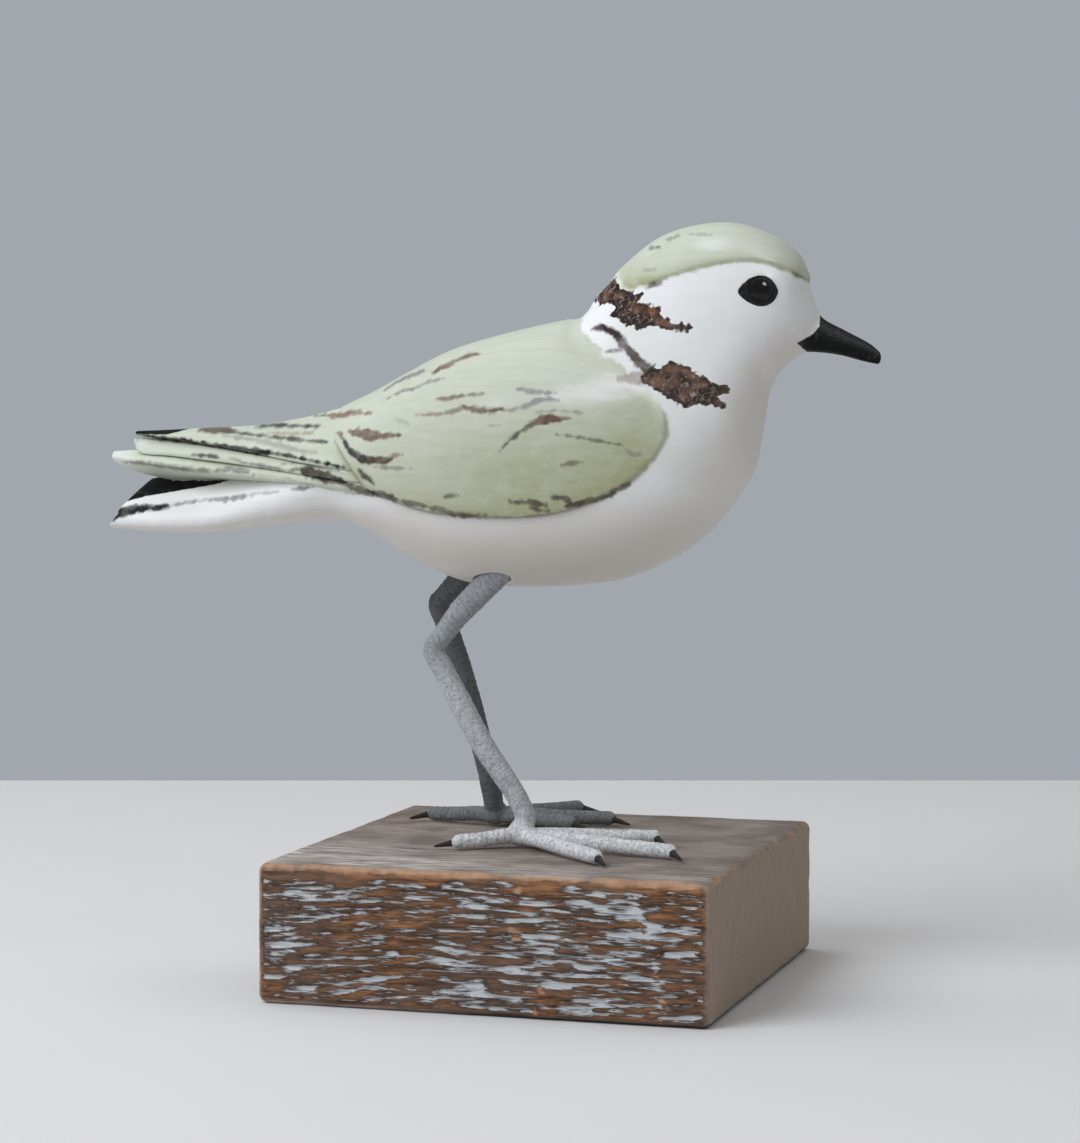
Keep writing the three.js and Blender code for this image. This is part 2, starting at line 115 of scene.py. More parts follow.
# Cross-sections of the carving: top (percent along, percent up), bottom (the same), half width, level of the
# widest place, and how full the upper and the lower part are
SECTIONS = [
    [5.5, 28.7, 0.7, 15.5, 40, 0.22, 1.2, 3],      # tail's end
    [10.3, 30.2, 6.9, 14.7, 45, 0.24, 1.2, 3],
    [17.2, 31.8, 13.8, 14.7, 50, 0.27, 1.3, 2.8],
    [24.1, 38.5, 21.8, 16.6, 57, 0.33, 1.5, 2.5],  # tail's root
    [30.5, 47.6, 30.5, 18.1, 66, 0.4, 1.8, 2.2],
    [35.6, 52.8, 36.2, 12.9, 77, 0.48, 2, 2.1],    # rump
    [40.2, 58.2, 42, 5.6, 87, 0.48, 2.1, 2.1],
    [45.4, 63.9, 48.3, 0.7, 95, 0.47, 2.1, 2.1],   # hips
    [51.5, 67.9, 57.5, 0, 100, 0.46, 2.1, 2.1],
    [57.2, 70.8, 66.7, 2, 100, 0.45, 2.1, 2.1],    # belly
    [60.9, 72.6, 73.6, 7.7, 97, 0.43, 2.1, 2.1],
    [62.8, 75.7, 78.7, 15.6, 90, 0.4, 2.1, 2.1],   # nape, breast
    [64.3, 80.6, 82.2, 25.2, 80, 0.38, 2.1, 2.1],
    [67.2, 86.7, 84.3, 33, 71, 0.38, 2.1, 2.1],
    [71.8, 94.6, 85.1, 41.1, 65, 0.42, 2.2, 2.1],
    [76.6, 98.3, 85.6, 47.6, 62, 0.47, 2.2, 2.1],  # crown
    [81.6, 98.9, 85.9, 52.8, 60, 0.51, 2.2, 2.1],
    [86.1, 95.8, 86.6, 56.7, 56, 0.53, 2.2, 2.1],  # eyes, throat
    [89.2, 91.3, 87.6, 60, 48, 0.5, 2.1, 2.1],
    [90.6, 85.6, 88.7, 62.1, 38, 0.46, 2, 2],      # forehead
    [91.5, 79.5, 89.8, 63.6, 26, 0.45, 2, 2],
    [92.6, 74, 90.8, 64.6, 15, 0.45, 2, 2],        # bill's root
    [95.6, 70.3, 94.5, 63.9, 11.5, 0.45, 1.9, 2],
    [98.6, 66.9, 98, 61.9, 7.5, 0.45, 1.9, 2],
    [100, 64.3, 99.9, 61.1, 3.2, 0.45, 2, 2],      # bill's tip
]
BILL_END = 23.75        # where the bill is closed off, counted in rows of SECTIONS
BILL_TIP_RADIUS = 0.9

# Outlines of the raised layers in the side view: percent along, percent up
WING_LOWER_EDGE = [[71.5, 55], [74.2, 47], [73.4, 37.5], [68.1, 27.2], [58.6, 20.7], [45.1, 21.3], [36, 27.5]]
WING_UPPER_EDGE = [[31.5, 40], [30, 62], [62.2, 80], [62.6, 71]]
CAP_LOWER_EDGE = [[66, 77.4], [67.5, 80], [71.4, 82.4], [77.8, 86.5], [84, 88.3], [89, 85.4], [92, 82]]
CAP_UPPER_EDGE = [[94, 104], [64, 104]]
TAIL_LOWER_EDGE = [[-1, 18.6], [9.5, 22.4], [19.8, 25], [28, 27.2]]
TAIL_UPPER_EDGE = [[28, 42], [-1, 42]]

# Feather groups: along, then ridge, rim and lining, each as percent outwards and percent up
TERTIALS = [
    [36, 0, 52.6, 78, 33, 10, 30],
    [30.5, 0, 49.4, 69, 34.4, 8, 32],
    [25.5, 0, 46.7, 56, 36, 8, 33.5],
    [19.5, 1, 44.6, 42, 38.3, 6, 36],
    [11.5, 3, 43.6, 26, 40.7, 6, 39],
    [6.3, 6, 43, 17, 41.9, 8, 40.6],
    [3.8, 9, 42.8, 12.5, 42.4, 10, 41.6],
]
UPPER_PRIMARIES = [
    [36, 2, 42, 79, 30, 12, 26],
    [30.5, 2, 41, 70.5, 31.4, 12, 27],
    [23, 2, 40, 57, 33.6, 10, 30],
    [15.8, 3, 40, 45, 35.6, 8, 33],
    [9.2, 4, 40.6, 33, 36.9, 8, 35],
    [4.7, 8, 40.9, 24, 37.3, 12, 36.2],
    [3.7, 10, 41, 18, 39.8, 13, 38.8],
]
LOWER_PRIMARIES = [
    [37, 2, 34, 79, 27, 30, 18],
    [30.5, 2, 35, 71.5, 29.4, 24, 22],
    [23, 2, 36.5, 62, 31.1, 16, 26],
    [16.1, 3, 37, 51, 32.4, 12, 28.6],
    [9.2, 4, 37.4, 39, 34.1, 10, 28.8],
    [4, 7, 37.5, 28, 35.1, 11, 31],
    [0.8, 12, 37.2, 18, 35.8, 14, 34.2],
]
FEATHER_CROWN = 0.06
FULL_RIM = 40

EYE_PLACE = [85.3, 80.8]

# Each leg: its hip in percent along and across the bird, its stance in the block's frame, and its toes by
# length, bearing and turn of the claw
RIGHT_STANCE = {
    "hip": [51.2, -40], "foot": [-2.3, -12], "ankle": [0.6, 0.8, 3.8], "shank_bow": 0.8,
    "knee": [-20.3, -0.2], "knee_height": 0.76, "thigh_bow": 0.9,
    "toes": [[14.3, 214, -28], [31, -42, -10], [37.2, -13.2, -35], [29.8, 23, -70]],
}
LEFT_STANCE = {
    "hip": [46.8, 40], "foot": [-18.4, 19], "ankle": [0.3, -2.8, 4.5], "shank_bow": -1,
    "knee": [-9.7, -11.5], "knee_height": 0.915, "thigh_bow": 0.5,
    "toes": [[17, 166, 40], [19, -8, -10], [26.5, 17, -30], [27.5, 62, -50]],
}
LEG_WRAPPING = [[-1, 3.1], [-0.6, 2.8], [-0.15, 2.3], [0.08, 2.35], [0.3, 2.5], [1, 2.2]]
THIGH_STOPS = [0.45, 0.8]
SHANK_STOPS = [0.12, 0.55]
TOE_ARCH = [[0.3, 1.45], [0.65, 1.15], [1, 1]]
TOE_ROOT_HEIGHT = 0.75
CLAW_ROOT = -0.1
CLAW_MIDDLE = 0.5
CLAW_LEVEL = 0.62


# Places on the bird, in millimetres along it (u), to its left (v) and up (z)

def along_place(percent):
    return BIRD_SHIFT + (np.asarray(percent, float) / 100 - 0.5) * BIRD_LENGTH


def up_place(percent):
    return BLOCK_HEIGHT + BELLY_CLEARANCE + np.asarray(percent, float) / 100 * BIRD_DEPTH


def across_place(percent):
    return np.asarray(percent, float) / 100 * BIRD_WIDTH / 2


def side_points(rows):
    rows = np.asarray(rows, float)
    return np.stack([along_place(rows[:, 0]), up_place(rows[:, 1])], axis=1)


def on_block(points, turn=BIRD_HEADING):
    """Points of the bird's own frame, turned to the way the bird stands on its block."""
    c, s = math.cos(turn), math.sin(turn)
    points = np.asarray(points, float)
    return np.stack([
        points[..., 0] * c - points[..., 1] * s, points[..., 0] * s + points[..., 1] * c, points[..., 2],
    ], axis=-1)


def smooth_step(low, high, value):
    t = np.clip((value - low) / (high - low), 0, 1)
    return t * t * (3 - 2 * t)


def bend(t, start, end, leave, arrive):
    """Places at shares t of a smooth bend that leaves one point and arrives at the other as given."""
    return ((2 * t**3 - 3 * t**2 + 1) * start + (t**3 - 2 * t**2 + t) * leave
            + (3 * t**2 - 2 * t**3) * end + (t**3 - t**2) * arrive)


def curve_through(rows, place):
    """The rows' values on a smooth curve through all of them, at places counted in rows."""
    rows = np.asarray(rows, float)
    place = np.asarray(place, float)
    last = len(rows) - 1
    first = np.clip(np.floor(place).astype(int), 0, last - 1)
    before, start, end, after = (rows[np.clip(first + k, 0, last)] for k in (-1, 0, 1, 2))
    return bend((place - first)[:, None], start, end, (end - before) / 2, (after - start) / 2)


def length_along(points):
    """How far along a line each of its points is."""
    return np.concatenate([[0], np.cumsum(np.linalg.norm(np.diff(points, axis=0), axis=1))])


def evenly(points, count, closed=False):
    """The same line with a number of points at equal steps."""
    if closed:
        points = np.concatenate([points, points[:1]])
    length = length_along(points)
    steps = np.linspace(0, length[-1], count, endpoint=not closed)
    return np.stack([np.interp(steps, length, points[:, k]) for k in range(points.shape[1])], axis=1)


def outline(curved_edge, straight_edge):
    curve = curve_through(curved_edge, np.linspace(0, len(curved_edge) - 1, OUTLINE_STEPS * len(curved_edge)))
    return side_points(np.concatenate([curve, straight_edge]))


# Distances in the side view, which the carver's edges and the painter's marks are drawn with

def line_distance(points, line, widths=None):
    """How far points are from a line, less the line's half width there."""
    nearest = np.full(len(points), 1e6)
    for k in range(len(line) - 1):
        start, step = line[k], line[k + 1] - line[k]
        share = np.clip(((points - start) @ step) / max(step @ step, 1e-9), 0, 1)
        distance = np.linalg.norm(points - start - share[:, None] * step, axis=1)
        if widths is not None:
            distance = distance - (widths[k] + (widths[k + 1] - widths[k]) * share)
        nearest = np.minimum(nearest, distance)
    return nearest


def patch_distance(points, patch):
    """How far points are from a closed patch's edge: below zero inside it."""
    closed = np.concatenate([patch, patch[:1]])
    inside = np.zeros(len(points), bool)
    for a, b in zip(closed[:-1], closed[1:]):
        crosses = (a[1] > points[:, 1]) != (b[1] > points[:, 1])
        rise = b[1] - a[1] if b[1] != a[1] else 1e-9
        inside ^= crosses & (points[:, 0] < a[0] + (points[:, 1] - a[1]) * (b[0] - a[0]) / rise)
    distance = line_distance(points, closed)
    return np.where(inside, -distance, distance)


def faded(side, spots):
    """How strongly spots that fade outwards show at places of the side view."""
    return sum(strength * np.exp(-np.sum(((side - side_points([centre])) / spread) ** 2, axis=1))
               for strength, centre, spread in spots)


# The paint, in percent along and up the side view: patches by their outlines

BILL_PAINT = side_points([
    [92.6, 76.5], [92.4, 74], [92.4, 71.4], [91.6, 69.3], [89.7, 66.9], [90.7, 64.7], [91.4, 61], [103, 55],
    [103, 72],
])
EYE_PAINT = [
    [82.7, 80.5], [83.9, 83.7], [85.4, 84.8], [86.8, 83.7], [87.6, 80.4], [86.8, 77.3], [85.4, 76.5],
    [83.8, 77.8],
]
NAPE_SCRAPE = side_points([
    [63.7, 78.7], [65.1, 82.2], [66.8, 85.2], [67.6, 81.5], [68.9, 80.3], [70.7, 80.4], [70.1, 78],
    [70.3, 76.8], [72.1, 77.2], [72.9, 75.4], [72.6, 74.3], [73.4, 73.9], [74.7, 72.3], [76.4, 72],
    [77.2, 70.9], [76.4, 69.8], [75.1, 70], [73, 70.9], [71.7, 71.4], [70.1, 70.4], [68.8, 71.9],
    [67.1, 73.5], [66.6, 74.9], [67.2, 76.3], [66.6, 78.1], [65.6, 76.6],
])
COLLAR_SCRAPE = side_points([
    [71.5, 60], [73, 60.2], [74.4, 61.6], [75.6, 61.2], [76.9, 60], [78.1, 58.2], [79.6, 56.4],
    [80.4, 55.3], [81.5, 55.8], [81.8, 54.6], [81.2, 53.1], [80.4, 52.2], [81.4, 50.9], [80.8, 49.1],
    [79.6, 50.2], [78.2, 49.8], [76.8, 49.5], [74.9, 51.1], [73.1, 53.8], [71.6, 55.5], [70.3, 56.4],
])
TAIL_BLACK = side_points([
    [-1, 20.2], [0.7, 21.6], [2.3, 22.8], [5.4, 24.6], [11.5, 26.8], [14.7, 28.1], [18, 30.2], [18.6, 34],
    [-1, 34],
])
WING_TIP_BLACK = side_points([[2.4, 42], [8.1, 41.8], [10.5, 43.4], [10, 46], [2, 46]])
RUMP_GREEN = side_points([[28, 35], [33, 32.2], [35.5, 29.6], [42, 45], [36, 62], [28, 50]])

# Spots that fade outwards: strength, centre and spread. Green is rubbed back to its white ground in some,
# one of them a painted sheen on the crown, and lies deep in others.
RUBBED_SPOTS = [
    (0.85, [67.5, 54.8], [7.5, 4]), (0.7, [61.5, 52.5], [7, 2.6]), (0.45, [53, 51], [7, 2]),
    # the second spot on the next line, high on the crown, is a painted sheen
    (0.35, [35, 46], [9, 5]), (0.8, [79.5, 93.5], [6, 1.8]), (0.9, [1.5, 35], [6, 2.5]),
    (0.6, [4, 40], [5, 2]),
]
DEEP_SPOTS = [(0.85, [60, 29], [32, 13]), (0.45, [71, 42], [9, 14]), (0.6, [69.5, 83], [6, 4])]
RUST_SPOTS = [(1, [72.2, 76.6], [1.7, 1.5])]
SHOULDER = [(1, [65.5, 65], [12, 9])]

# Painted, scraped and worn lines, a few of them partly painted shade along carved edges: points, half widths
# in millimetres, tone and strength. The tones go from black at 0 over dark brown, brown, tan and mauve brown
# to a pale mauve grey at 1.
MARKS = [
    # tail
    ([[-0.4, 17.9], [2.4, 19.9], [3.8, 20.8], [5.9, 21.4], [8.9, 22]], [0.5, 0.9, 0.85, 0.7, 0.3], 0, 1),
    ([[8.9, 22.1], [12.1, 23.1], [15.2, 24], [17.4, 24.3], [19.4, 25]],
     [0.2, 0.2, 0.25, 0.4, 0.4], 0.95, 0.8),
    ([[19.8, 25.3], [22, 26], [24, 26.2]], [0.25, 0.25, 0.15], 1, 0.5),
    ([[26.1, 27.1], [27.6, 27.4], [28.9, 27.7]], [0.2, 0.35, 0.15], 0.92, 0.8),
    # tips of the wing feathers; the first three lines, black under the tertials' edge, are partly a painted
    # groove and partly painted shadow of that edge
    ([[3.2, 41.6], [8.2, 40.7], [12.1, 39.9], [15.2, 38.9], [18.3, 38.1]], [0.35, 0.3, 0.3, 0.3, 0.35], 0, 1),
    ([[18.3, 38.1], [20.5, 37.5], [22.4, 37.1]], [0.4, 0.6, 0.4], 0, 1),
    ([[22.4, 37.1], [24.8, 36.3], [29.6, 34.6], [33, 33.2]], [0.3, 0.3, 0.28, 0.3], 0.05, 1),
    ([[12.1, 43.1], [14.4, 43.2], [16.4, 42.7]], [0.3, 0.75, 0.5], 0.3, 0.9),
    ([[16.4, 42.7], [20.9, 41.6], [23.8, 41], [26.4, 40.6], [30.3, 40]],
     [0.3, 0.25, 0.3, 0.3, 0.15], 0.08, 0.85),
    ([[15.7, 41.7], [20.1, 40.4], [23.4, 39.2], [26.3, 38]], [0.2, 0.4, 0.5, 0.3], 0.92, 0.5),
    ([[23.5, 38.4], [26.8, 37.6], [29, 37]], [0.2, 0.35, 0.15], 0.92, 0.45),
    ([[19.5, 44], [22.3, 44.5], [25, 44.3], [29.4, 44.2]], [0.15, 0.5, 0.3, 0.1], 0, 0.9),
    ([[21.8, 42.3], [25, 42.2], [27.8, 42.4]], [0.15, 0.3, 0.15], 0.65, 0.5),
    ([[12.1, 36.2], [13.8, 36.2], [15.9, 35.6]], [0.1, 0.3, 0.1], 0.08, 0.85),
    ([[2.1, 34.2], [5.7, 33.7], [9, 32.9], [12.4, 32.3], [15.4, 32]], [0.15, 0.3, 0.35, 0.3, 0.2], 0.8, 0.8),
    ([[17.1, 35.6], [19.7, 34.2], [22.9, 33], [25.3, 32.1]], [0.1, 0.25, 0.3, 0.2], 0.85, 0.7),
    ([[15.8, 32.2], [17.7, 32.3], [20.1, 31.7]], [0.3, 0.45, 0.4], 0.85, 0.7),
    ([[24.6, 34.2], [26.9, 34.2]], [0.2, 0.15], 0.9, 0.6),
    ([[25.4, 32.1], [26.9, 32.6], [28, 32], [29.3, 31.2], [31, 30.4], [32.5, 29.3], [33.4, 28.7]],
     [0.3, 0.4, 0.9, 1, 0.9, 0.7, 0.4], 0.22, 0.95),
    ([[33.4, 28.6], [35.5, 26.9], [37.7, 26.4], [39.7, 25.6]], [0.5, 0.45, 0.45, 0.35], 0.22, 0.9),
    ([[27.3, 47], [28.6, 47.2], [29.8, 47.3]], [0.15, 0.3, 0.2], 0.08, 0.8),
    ([[29.8, 47.2], [32.4, 47.5], [33.5, 48.1], [36.3, 47.8]], [0.4, 0.5, 0.5, 0.2], 0.6, 0.9),
    ([[31.7, 42.6], [32.4, 42.1]], [0.3, 0.35], 0.5, 0.8),
    # rear of the wing
    ([[37.3, 54.1], [38.6, 56.1], [40.6, 58.1], [42.2, 59.1], [43.8, 59.3]],
     [0.15, 0.3, 0.35, 0.3, 0.1], 0.88, 0.75),
    ([[44.1, 59], [45.3, 60.3], [47.1, 62.4], [48.4, 63.6], [49.9, 63.9]],
     [0.2, 0.4, 0.45, 0.4, 0.15], 0.5, 0.9),
    ([[37.5, 50.9], [39.5, 53.4], [41.5, 54.4], [43.7, 56.2], [45.7, 57.4]],
     [0.1, 0.2, 0.25, 0.25, 0.1], 0.88, 0.7),
    ([[33.5, 43], [34.9, 42.6], [36.6, 41.9], [38.6, 41.8], [40.7, 42.1]],
     [0.3, 0.8, 0.95, 0.6, 0.2], 0.5, 0.9),
    ([[32.7, 41.1], [33.6, 38.6], [35, 36.2], [36.5, 34.9]], [0.3, 0.5, 0.7, 0.6], 0.18, 0.95),
    ([[36.5, 34.9], [38.2, 35.3], [39.6, 35.6]], [0.6, 0.7, 0.5], 0.3, 0.95),
    ([[38.7, 35.9], [39.9, 36.4], [41.2, 36.8]], [0.2, 0.3, 0.1], 0.62, 0.8),
    ([[37.3, 33.6], [39.5, 33.3], [42.2, 33.1]], [0.15, 0.3, 0.1], 0.9, 0.7),
    ([[35.2, 32.8], [36.3, 30.4], [37.2, 28.8]], [0.15, 0.4, 0.25], 0.12, 0.9),
    ([[39.3, 46.4], [40.6, 46.1], [41.7, 45.1]], [0.15, 0.3, 0.2], 1, 0.5),
    # middle of the wing
    ([[45.3, 51.8], [46.5, 51.8], [47.9, 52.4], [49.8, 52.9], [51.3, 53.2]],
     [0.15, 0.35, 0.25, 0.3, 0.15], 0.48, 0.75),
    ([[55.6, 54.4], [57.2, 54], [59.1, 53.5], [60.6, 53.4]], [0.2, 0.5, 0.35, 0.1], 1, 0.75),
    ([[42.7, 47.5], [44.7, 47.5], [46.6, 48.1], [47.8, 48.6], [48.7, 49.5]],
     [0.15, 0.25, 0.3, 0.4, 0.2], 0.72, 0.7),
    ([[48.8, 49.7], [50.2, 49.1], [51.8, 48.6], [53.8, 49]], [0.3, 0.5, 0.5, 0.25], 0.45, 0.9),
    ([[53.9, 48.5], [56.2, 49.5], [58, 51], [59.4, 51.8], [61, 51.4]], [0.2, 0.3, 0.45, 0.4, 0.1], 1, 0.75),
    ([[53.7, 37.7], [54.8, 40.4], [56.6, 43.6], [57.7, 45]], [0.1, 0.3, 0.35, 0.4], 0.08, 0.85),
    ([[57.7, 45.2], [59, 46.2], [60.4, 46.5], [62.4, 46.5]], [0.5, 0.9, 0.75, 0.2], 0.48, 0.95),
    ([[58.1, 47.9], [60.8, 48.7], [63.9, 48.1]], [0.15, 0.3, 0.1], 1, 0.6),
    ([[60.9, 42.4], [63, 41.8], [65.2, 41], [67.2, 40.2], [69, 39.5]],
     [0.1, 0.2, 0.25, 0.15, 0.1], 0.08, 0.7),
    ([[69, 39.5], [70.1, 37.1], [71, 37.3]], [0.1, 0.45, 0.2], 1, 0.6),
    ([[61.5, 34.3], [62.8, 34.7], [64.2, 35]], [0.15, 0.4, 0.2], 0.3, 0.6),
    ([[52.5, 44.6], [53.7, 44.9]], [0.3, 0.2], 1, 0.5),
    # lower edge of the wing; the first line is partly a streak and partly painted shade at the edge's foot
    ([[37.1, 25.9], [41.8, 24], [44.9, 22.6], [47.1, 21.3], [48.1, 20.7], [51.9, 20.7]],
     [0.3, 0.35, 0.4, 0.5, 0.5, 0.25], 0.25, 0.8),
    ([[46.9, 25.7], [48.5, 26]], [0.35, 0.25], 0.3, 0.75),
    ([[55, 24.3], [56.6, 24.3], [58.2, 24.2], [59.5, 23.4]], [0.15, 0.4, 0.6, 0.4], 0.24, 0.85),
    ([[57.7, 23], [58.6, 22.2], [59.7, 22]], [0.3, 0.4, 0.2], 0.24, 0.8),
    ([[60.4, 25.7], [61.9, 25.4], [62.7, 23.5], [62.3, 23]], [0.3, 0.4, 0.35, 0.3], 0.24, 0.85),
    ([[61.8, 23], [64.3, 24.5], [66.6, 25.7], [68, 27]], [0.3, 0.55, 0.4, 0.3], 0.2, 0.9),
    ([[67.7, 27.4], [68.8, 28.2], [69.8, 29.1]], [0.3, 0.45, 0.2], 0.3, 0.7),
    # collar, down from the back to the scrape
    ([[64.3, 70.6], [65.7, 71], [67.1, 69.4], [68.4, 67.4]], [0.4, 0.7, 0.65, 0.6], 0.2, 1.0),
    ([[68.2, 66.4], [69.2, 64.9], [69.9, 63], [70.9, 61.2], [71.6, 59.4]],
     [0.65, 0.75, 0.85, 0.9, 1], 0.3, 0.95),
    ([[66.4, 64.3], [67.9, 64.9], [70, 64.7]], [0.2, 0.4, 0.2], 0.85, 0.9),
    ([[68.2, 57.3], [70.4, 57.4], [72.4, 57.4]], [0.5, 1.2, 1.4], 0.62, 0.6),
    # cap
    ([[71.1, 81.6], [71.9, 82.2], [73, 83.1]], [0.2, 0.5, 0.2], 0.25, 0.8),
    ([[71.3, 92.7], [72.3, 93]], [0.25, 0.25], 0.35, 0.7),
    ([[73.2, 94.9], [74.1, 95.5], [75, 95.9]], [0.2, 0.3, 0.1], 0.35, 0.6),
    ([[76.3, 96.3], [77.6, 96.1], [79.1, 95.9]], [0.1, 0.2, 0.1], 1, 0.5),
    ([[70.8, 86.6], [72.1, 86.7]], [0.3, 0.2], 1, 0.45),
    ([[89.1, 86], [90.4, 84.4], [90.8, 83.8]], [0.2, 0.4, 0.2], 0.25, 0.6),
]
# The left side has only the stronger marks, a little way from where the right side has them
LEFT_MARKS = [mark for mark in MARKS if mark[3] >= 0.9]
COLLAR_MARKS = [mark for mark in LEFT_MARKS if mark[0][0][0] > 64]
LEFT_SHIFT = np.array([2.6, 0.7])
MARK_REACH = 6
MARK_SPREAD = 1.25   # the colour of a stroke or a scrape spreads a little beside its line


def nearest_mark(points, marks):
    """How far points are from the nearest mark's edge, and that mark's tone and strength."""
    nearest = np.full(len(points), float(MARK_REACH))
    tone, strength = np.zeros(len(points)), np.zeros(len(points))
    for line, widths, mark_tone, mark_strength in marks:
        places = np.linspace(0, len(line) - 1, MARK_STEPS * len(line))
        curve = side_points(curve_through(line, places))
        thickness = MARK_SPREAD * curve_through(np.array(widths)[:, None], places)[:, 0]
        near = np.all((points > curve.min(0) - MARK_REACH) & (points < curve.max(0) + MARK_REACH), axis=1)
        distance = line_distance(points[near], curve, thickness)
        closer = distance < nearest[near]
        places_closer = np.flatnonzero(near)[closer]
        nearest[places_closer] = distance[closer]
        tone[places_closer], strength[places_closer] = mark_tone, mark_strength
    return nearest, tone, strength


def smooth_patch(rows):
    """A closed patch whose outline is a smooth curve through its points."""
    rows = [*rows[-1:], *rows, *rows[:2]]
    places = np.linspace(1, len(rows) - 2, PATCH_STEPS * len(rows), endpoint=False)
    return side_points(curve_through(rows, places))


ALMOND = smooth_patch(EYE_PAINT)
WING_OUTLINE = outline(WING_LOWER_EDGE, WING_UPPER_EDGE)
CAP_OUTLINE = outline(CAP_LOWER_EDGE, CAP_UPPER_EDGE)
TAIL_OUTLINE = outline(TAIL_LOWER_EDGE, TAIL_UPPER_EDGE)
MAP_CORNER, MAP_END = side_points([[-2, -3], [102, 103]])


def detail_map(marks):
    """How far the places of a grid over the side view are from the nearest carved edge or painted mark."""
    u, z = (np.arange(MAP_CORNER[k], MAP_END[k], DETAIL_GRID) for k in (0, 1))
    side = np.stack(np.meshgrid(u, z, indexing="ij"), axis=-1).reshape(-1, 2)
    edges = [patch_distance(side, patch) for patch in (
        WING_OUTLINE, CAP_OUTLINE, TAIL_OUTLINE, ALMOND, BILL_PAINT, NAPE_SCRAPE, COLLAR_SCRAPE, TAIL_BLACK,
        WING_TIP_BLACK)]
    edges.append(nearest_mark(side, marks)[0])
    return np.min(np.abs(edges), axis=0).reshape(len(u), len(z))


DETAIL_MAP = {-1: detail_map(MARKS), 1: detail_map(LEFT_MARKS)}


def wanted_length(points):
    """How long the skin's edges may be: short beside carved edges and paint marks, longer elsewhere."""
    length = np.empty(len(points))
    for side, grid in DETAIL_MAP.items():
        here = (points[:, 1] < 0) == (side < 0)
        places = points[here][:, [0, 2]] - MAP_CORNER
        column, row = np.clip(np.round(places / DETAIL_GRID).astype(int), 0, np.array(grid.shape) - 1).T
        coarser = 1 if side < 0 else COARSER_LEFT
        length[here] = coarser * np.clip(SHORTEST_EDGE + grid[column, row] - 0.5, SHORTEST_EDGE, LONGEST_EDGE)
    return length


# Meshes from dense tables of points: rows along a form, columns round it

def on_table(table, places):
    """Points of the table at places between its rows and columns; the columns run round and close."""
    rows, columns = table.shape[:2]
    row = np.clip(places[:, 0], 0, rows - 1.000001)
    r0 = np.floor(row).astype(int)
    c0 = np.floor(places[:, 1]).astype(int)
    tr, tc = (row - r0)[:, None], (places[:, 1] - c0)[:, None]
    c0, c1 = c0 % columns, (c0 + 1) % columns
    near = table[r0, c0] * (1 - tc) + table[r0, c1] * tc
    far = table[r0 + 1, c0] * (1 - tc) + table[r0 + 1, c1] * tc
    return near * (1 - tr) + far * tr


def split_faces(faces, edge_middle):
    """Faces cut at the middles of their marked edges; -1 marks an edge that stays whole."""
    cut = edge_middle >= 0
    count = cut.sum(axis=1)
    out = [faces[count == 0]]
    for split in (1, 2):
        pick = count == split
        f, m, c = faces[pick], edge_middle[pick], cut[pick]
        first = np.argmax(c, axis=1) if split == 1 else (np.argmin(c, axis=1) + 1) % 3
        turn = (first[:, None] + np.arange(3)) % 3
        f, m = np.take_along_axis(f, turn, 1), np.take_along_axis(m, turn, 1)
        if split == 1:
            out += [np.stack([f[:, 0], m[:, 0], f[:, 2]], 1), np.stack([m[:, 0], f[:, 1], f[:, 2]], 1)]
        else:
            out += [np.stack([m[:, 0], f[:, 1], m[:, 1]], 1), np.stack([f[:, 0], m[:, 0], m[:, 1]], 1),
                    np.stack([f[:, 0], m[:, 1], f[:, 2]], 1)]
    f, m = faces[count == 3], edge_middle[count == 3]
    out += [np.stack([f[:, 0], m[:, 0], m[:, 2]], 1), np.stack([m[:, 0], f[:, 1], m[:, 1]], 1),
            np.stack([m[:, 2], m[:, 1], f[:, 2]], 1), m]
    return np.concatenate(out)


def outward(points, faces):
    """The faces, all turned outwards."""
    a, b, c = (points[faces[:, k]] for k in range(3))
    volume = np.einsum("ij,ij->i", a, np.cross(b, c)).sum()
    return faces if volume > 0 else faces[:, ::-1]


def fine_skin(table, rows, columns, wanted=None, rounds=0):
    """A closed skin over the table, with its faces made finer where the wanted length is shorter."""
    total = table.shape[1]
    across = np.arange(columns) * total / columns
    places = np.array([[r, c] for r in rows for c in across])
    faces = []
    for r in range(len(rows) - 1):
        for c in range(columns):
            a, b = r * columns + c, r * columns + (c + 1) % columns
            faces += [[a, b, b + columns], [a, b + columns, a + columns]]
    hubs = [len(places), len(places) + 1]
    end = (len(rows) - 1) * columns
    for c in range(columns):
        d = (c + 1) % columns
        faces += [[hubs[0], d, c], [hubs[1], end + c, end + d]]
    places = np.concatenate([places, [[rows[0], 0], [rows[-1], 0]]])
    faces = np.array(faces)
    middles = [table[int(rows[0])].mean(0), table[int(rows[-1])].mean(0)]
    for _ in range(rounds):
        points = on_table(table, places)
        points[hubs] = middles
        pairs = faces[:, [0, 1, 1, 2, 2, 0]].reshape(-1, 2)
        edges, which = np.unique(np.sort(pairs, axis=1), axis=0, return_inverse=True)
        ends = points[edges]
        centre = ends.mean(axis=1)
        marked = np.linalg.norm(ends[:, 0] - ends[:, 1], axis=1) > wanted(centre)
        marked &= ~np.isin(edges, hubs).any(axis=1)
        new = places[edges[marked, 0]].copy()
        step = places[edges[marked, 1]] - new
        step[:, 1] = (step[:, 1] + total / 2) % total - total / 2
        new += step / 2
        new[:, 1] %= total
        number = np.full(len(edges), -1)
        number[marked] = len(places) + np.arange(marked.sum())
        faces = split_faces(faces, number[which.ravel()].reshape(-1, 3))
        places = np.concatenate([places, new])
    points = on_table(table, places)
    points[hubs] = middles
    return points, outward(points, faces)


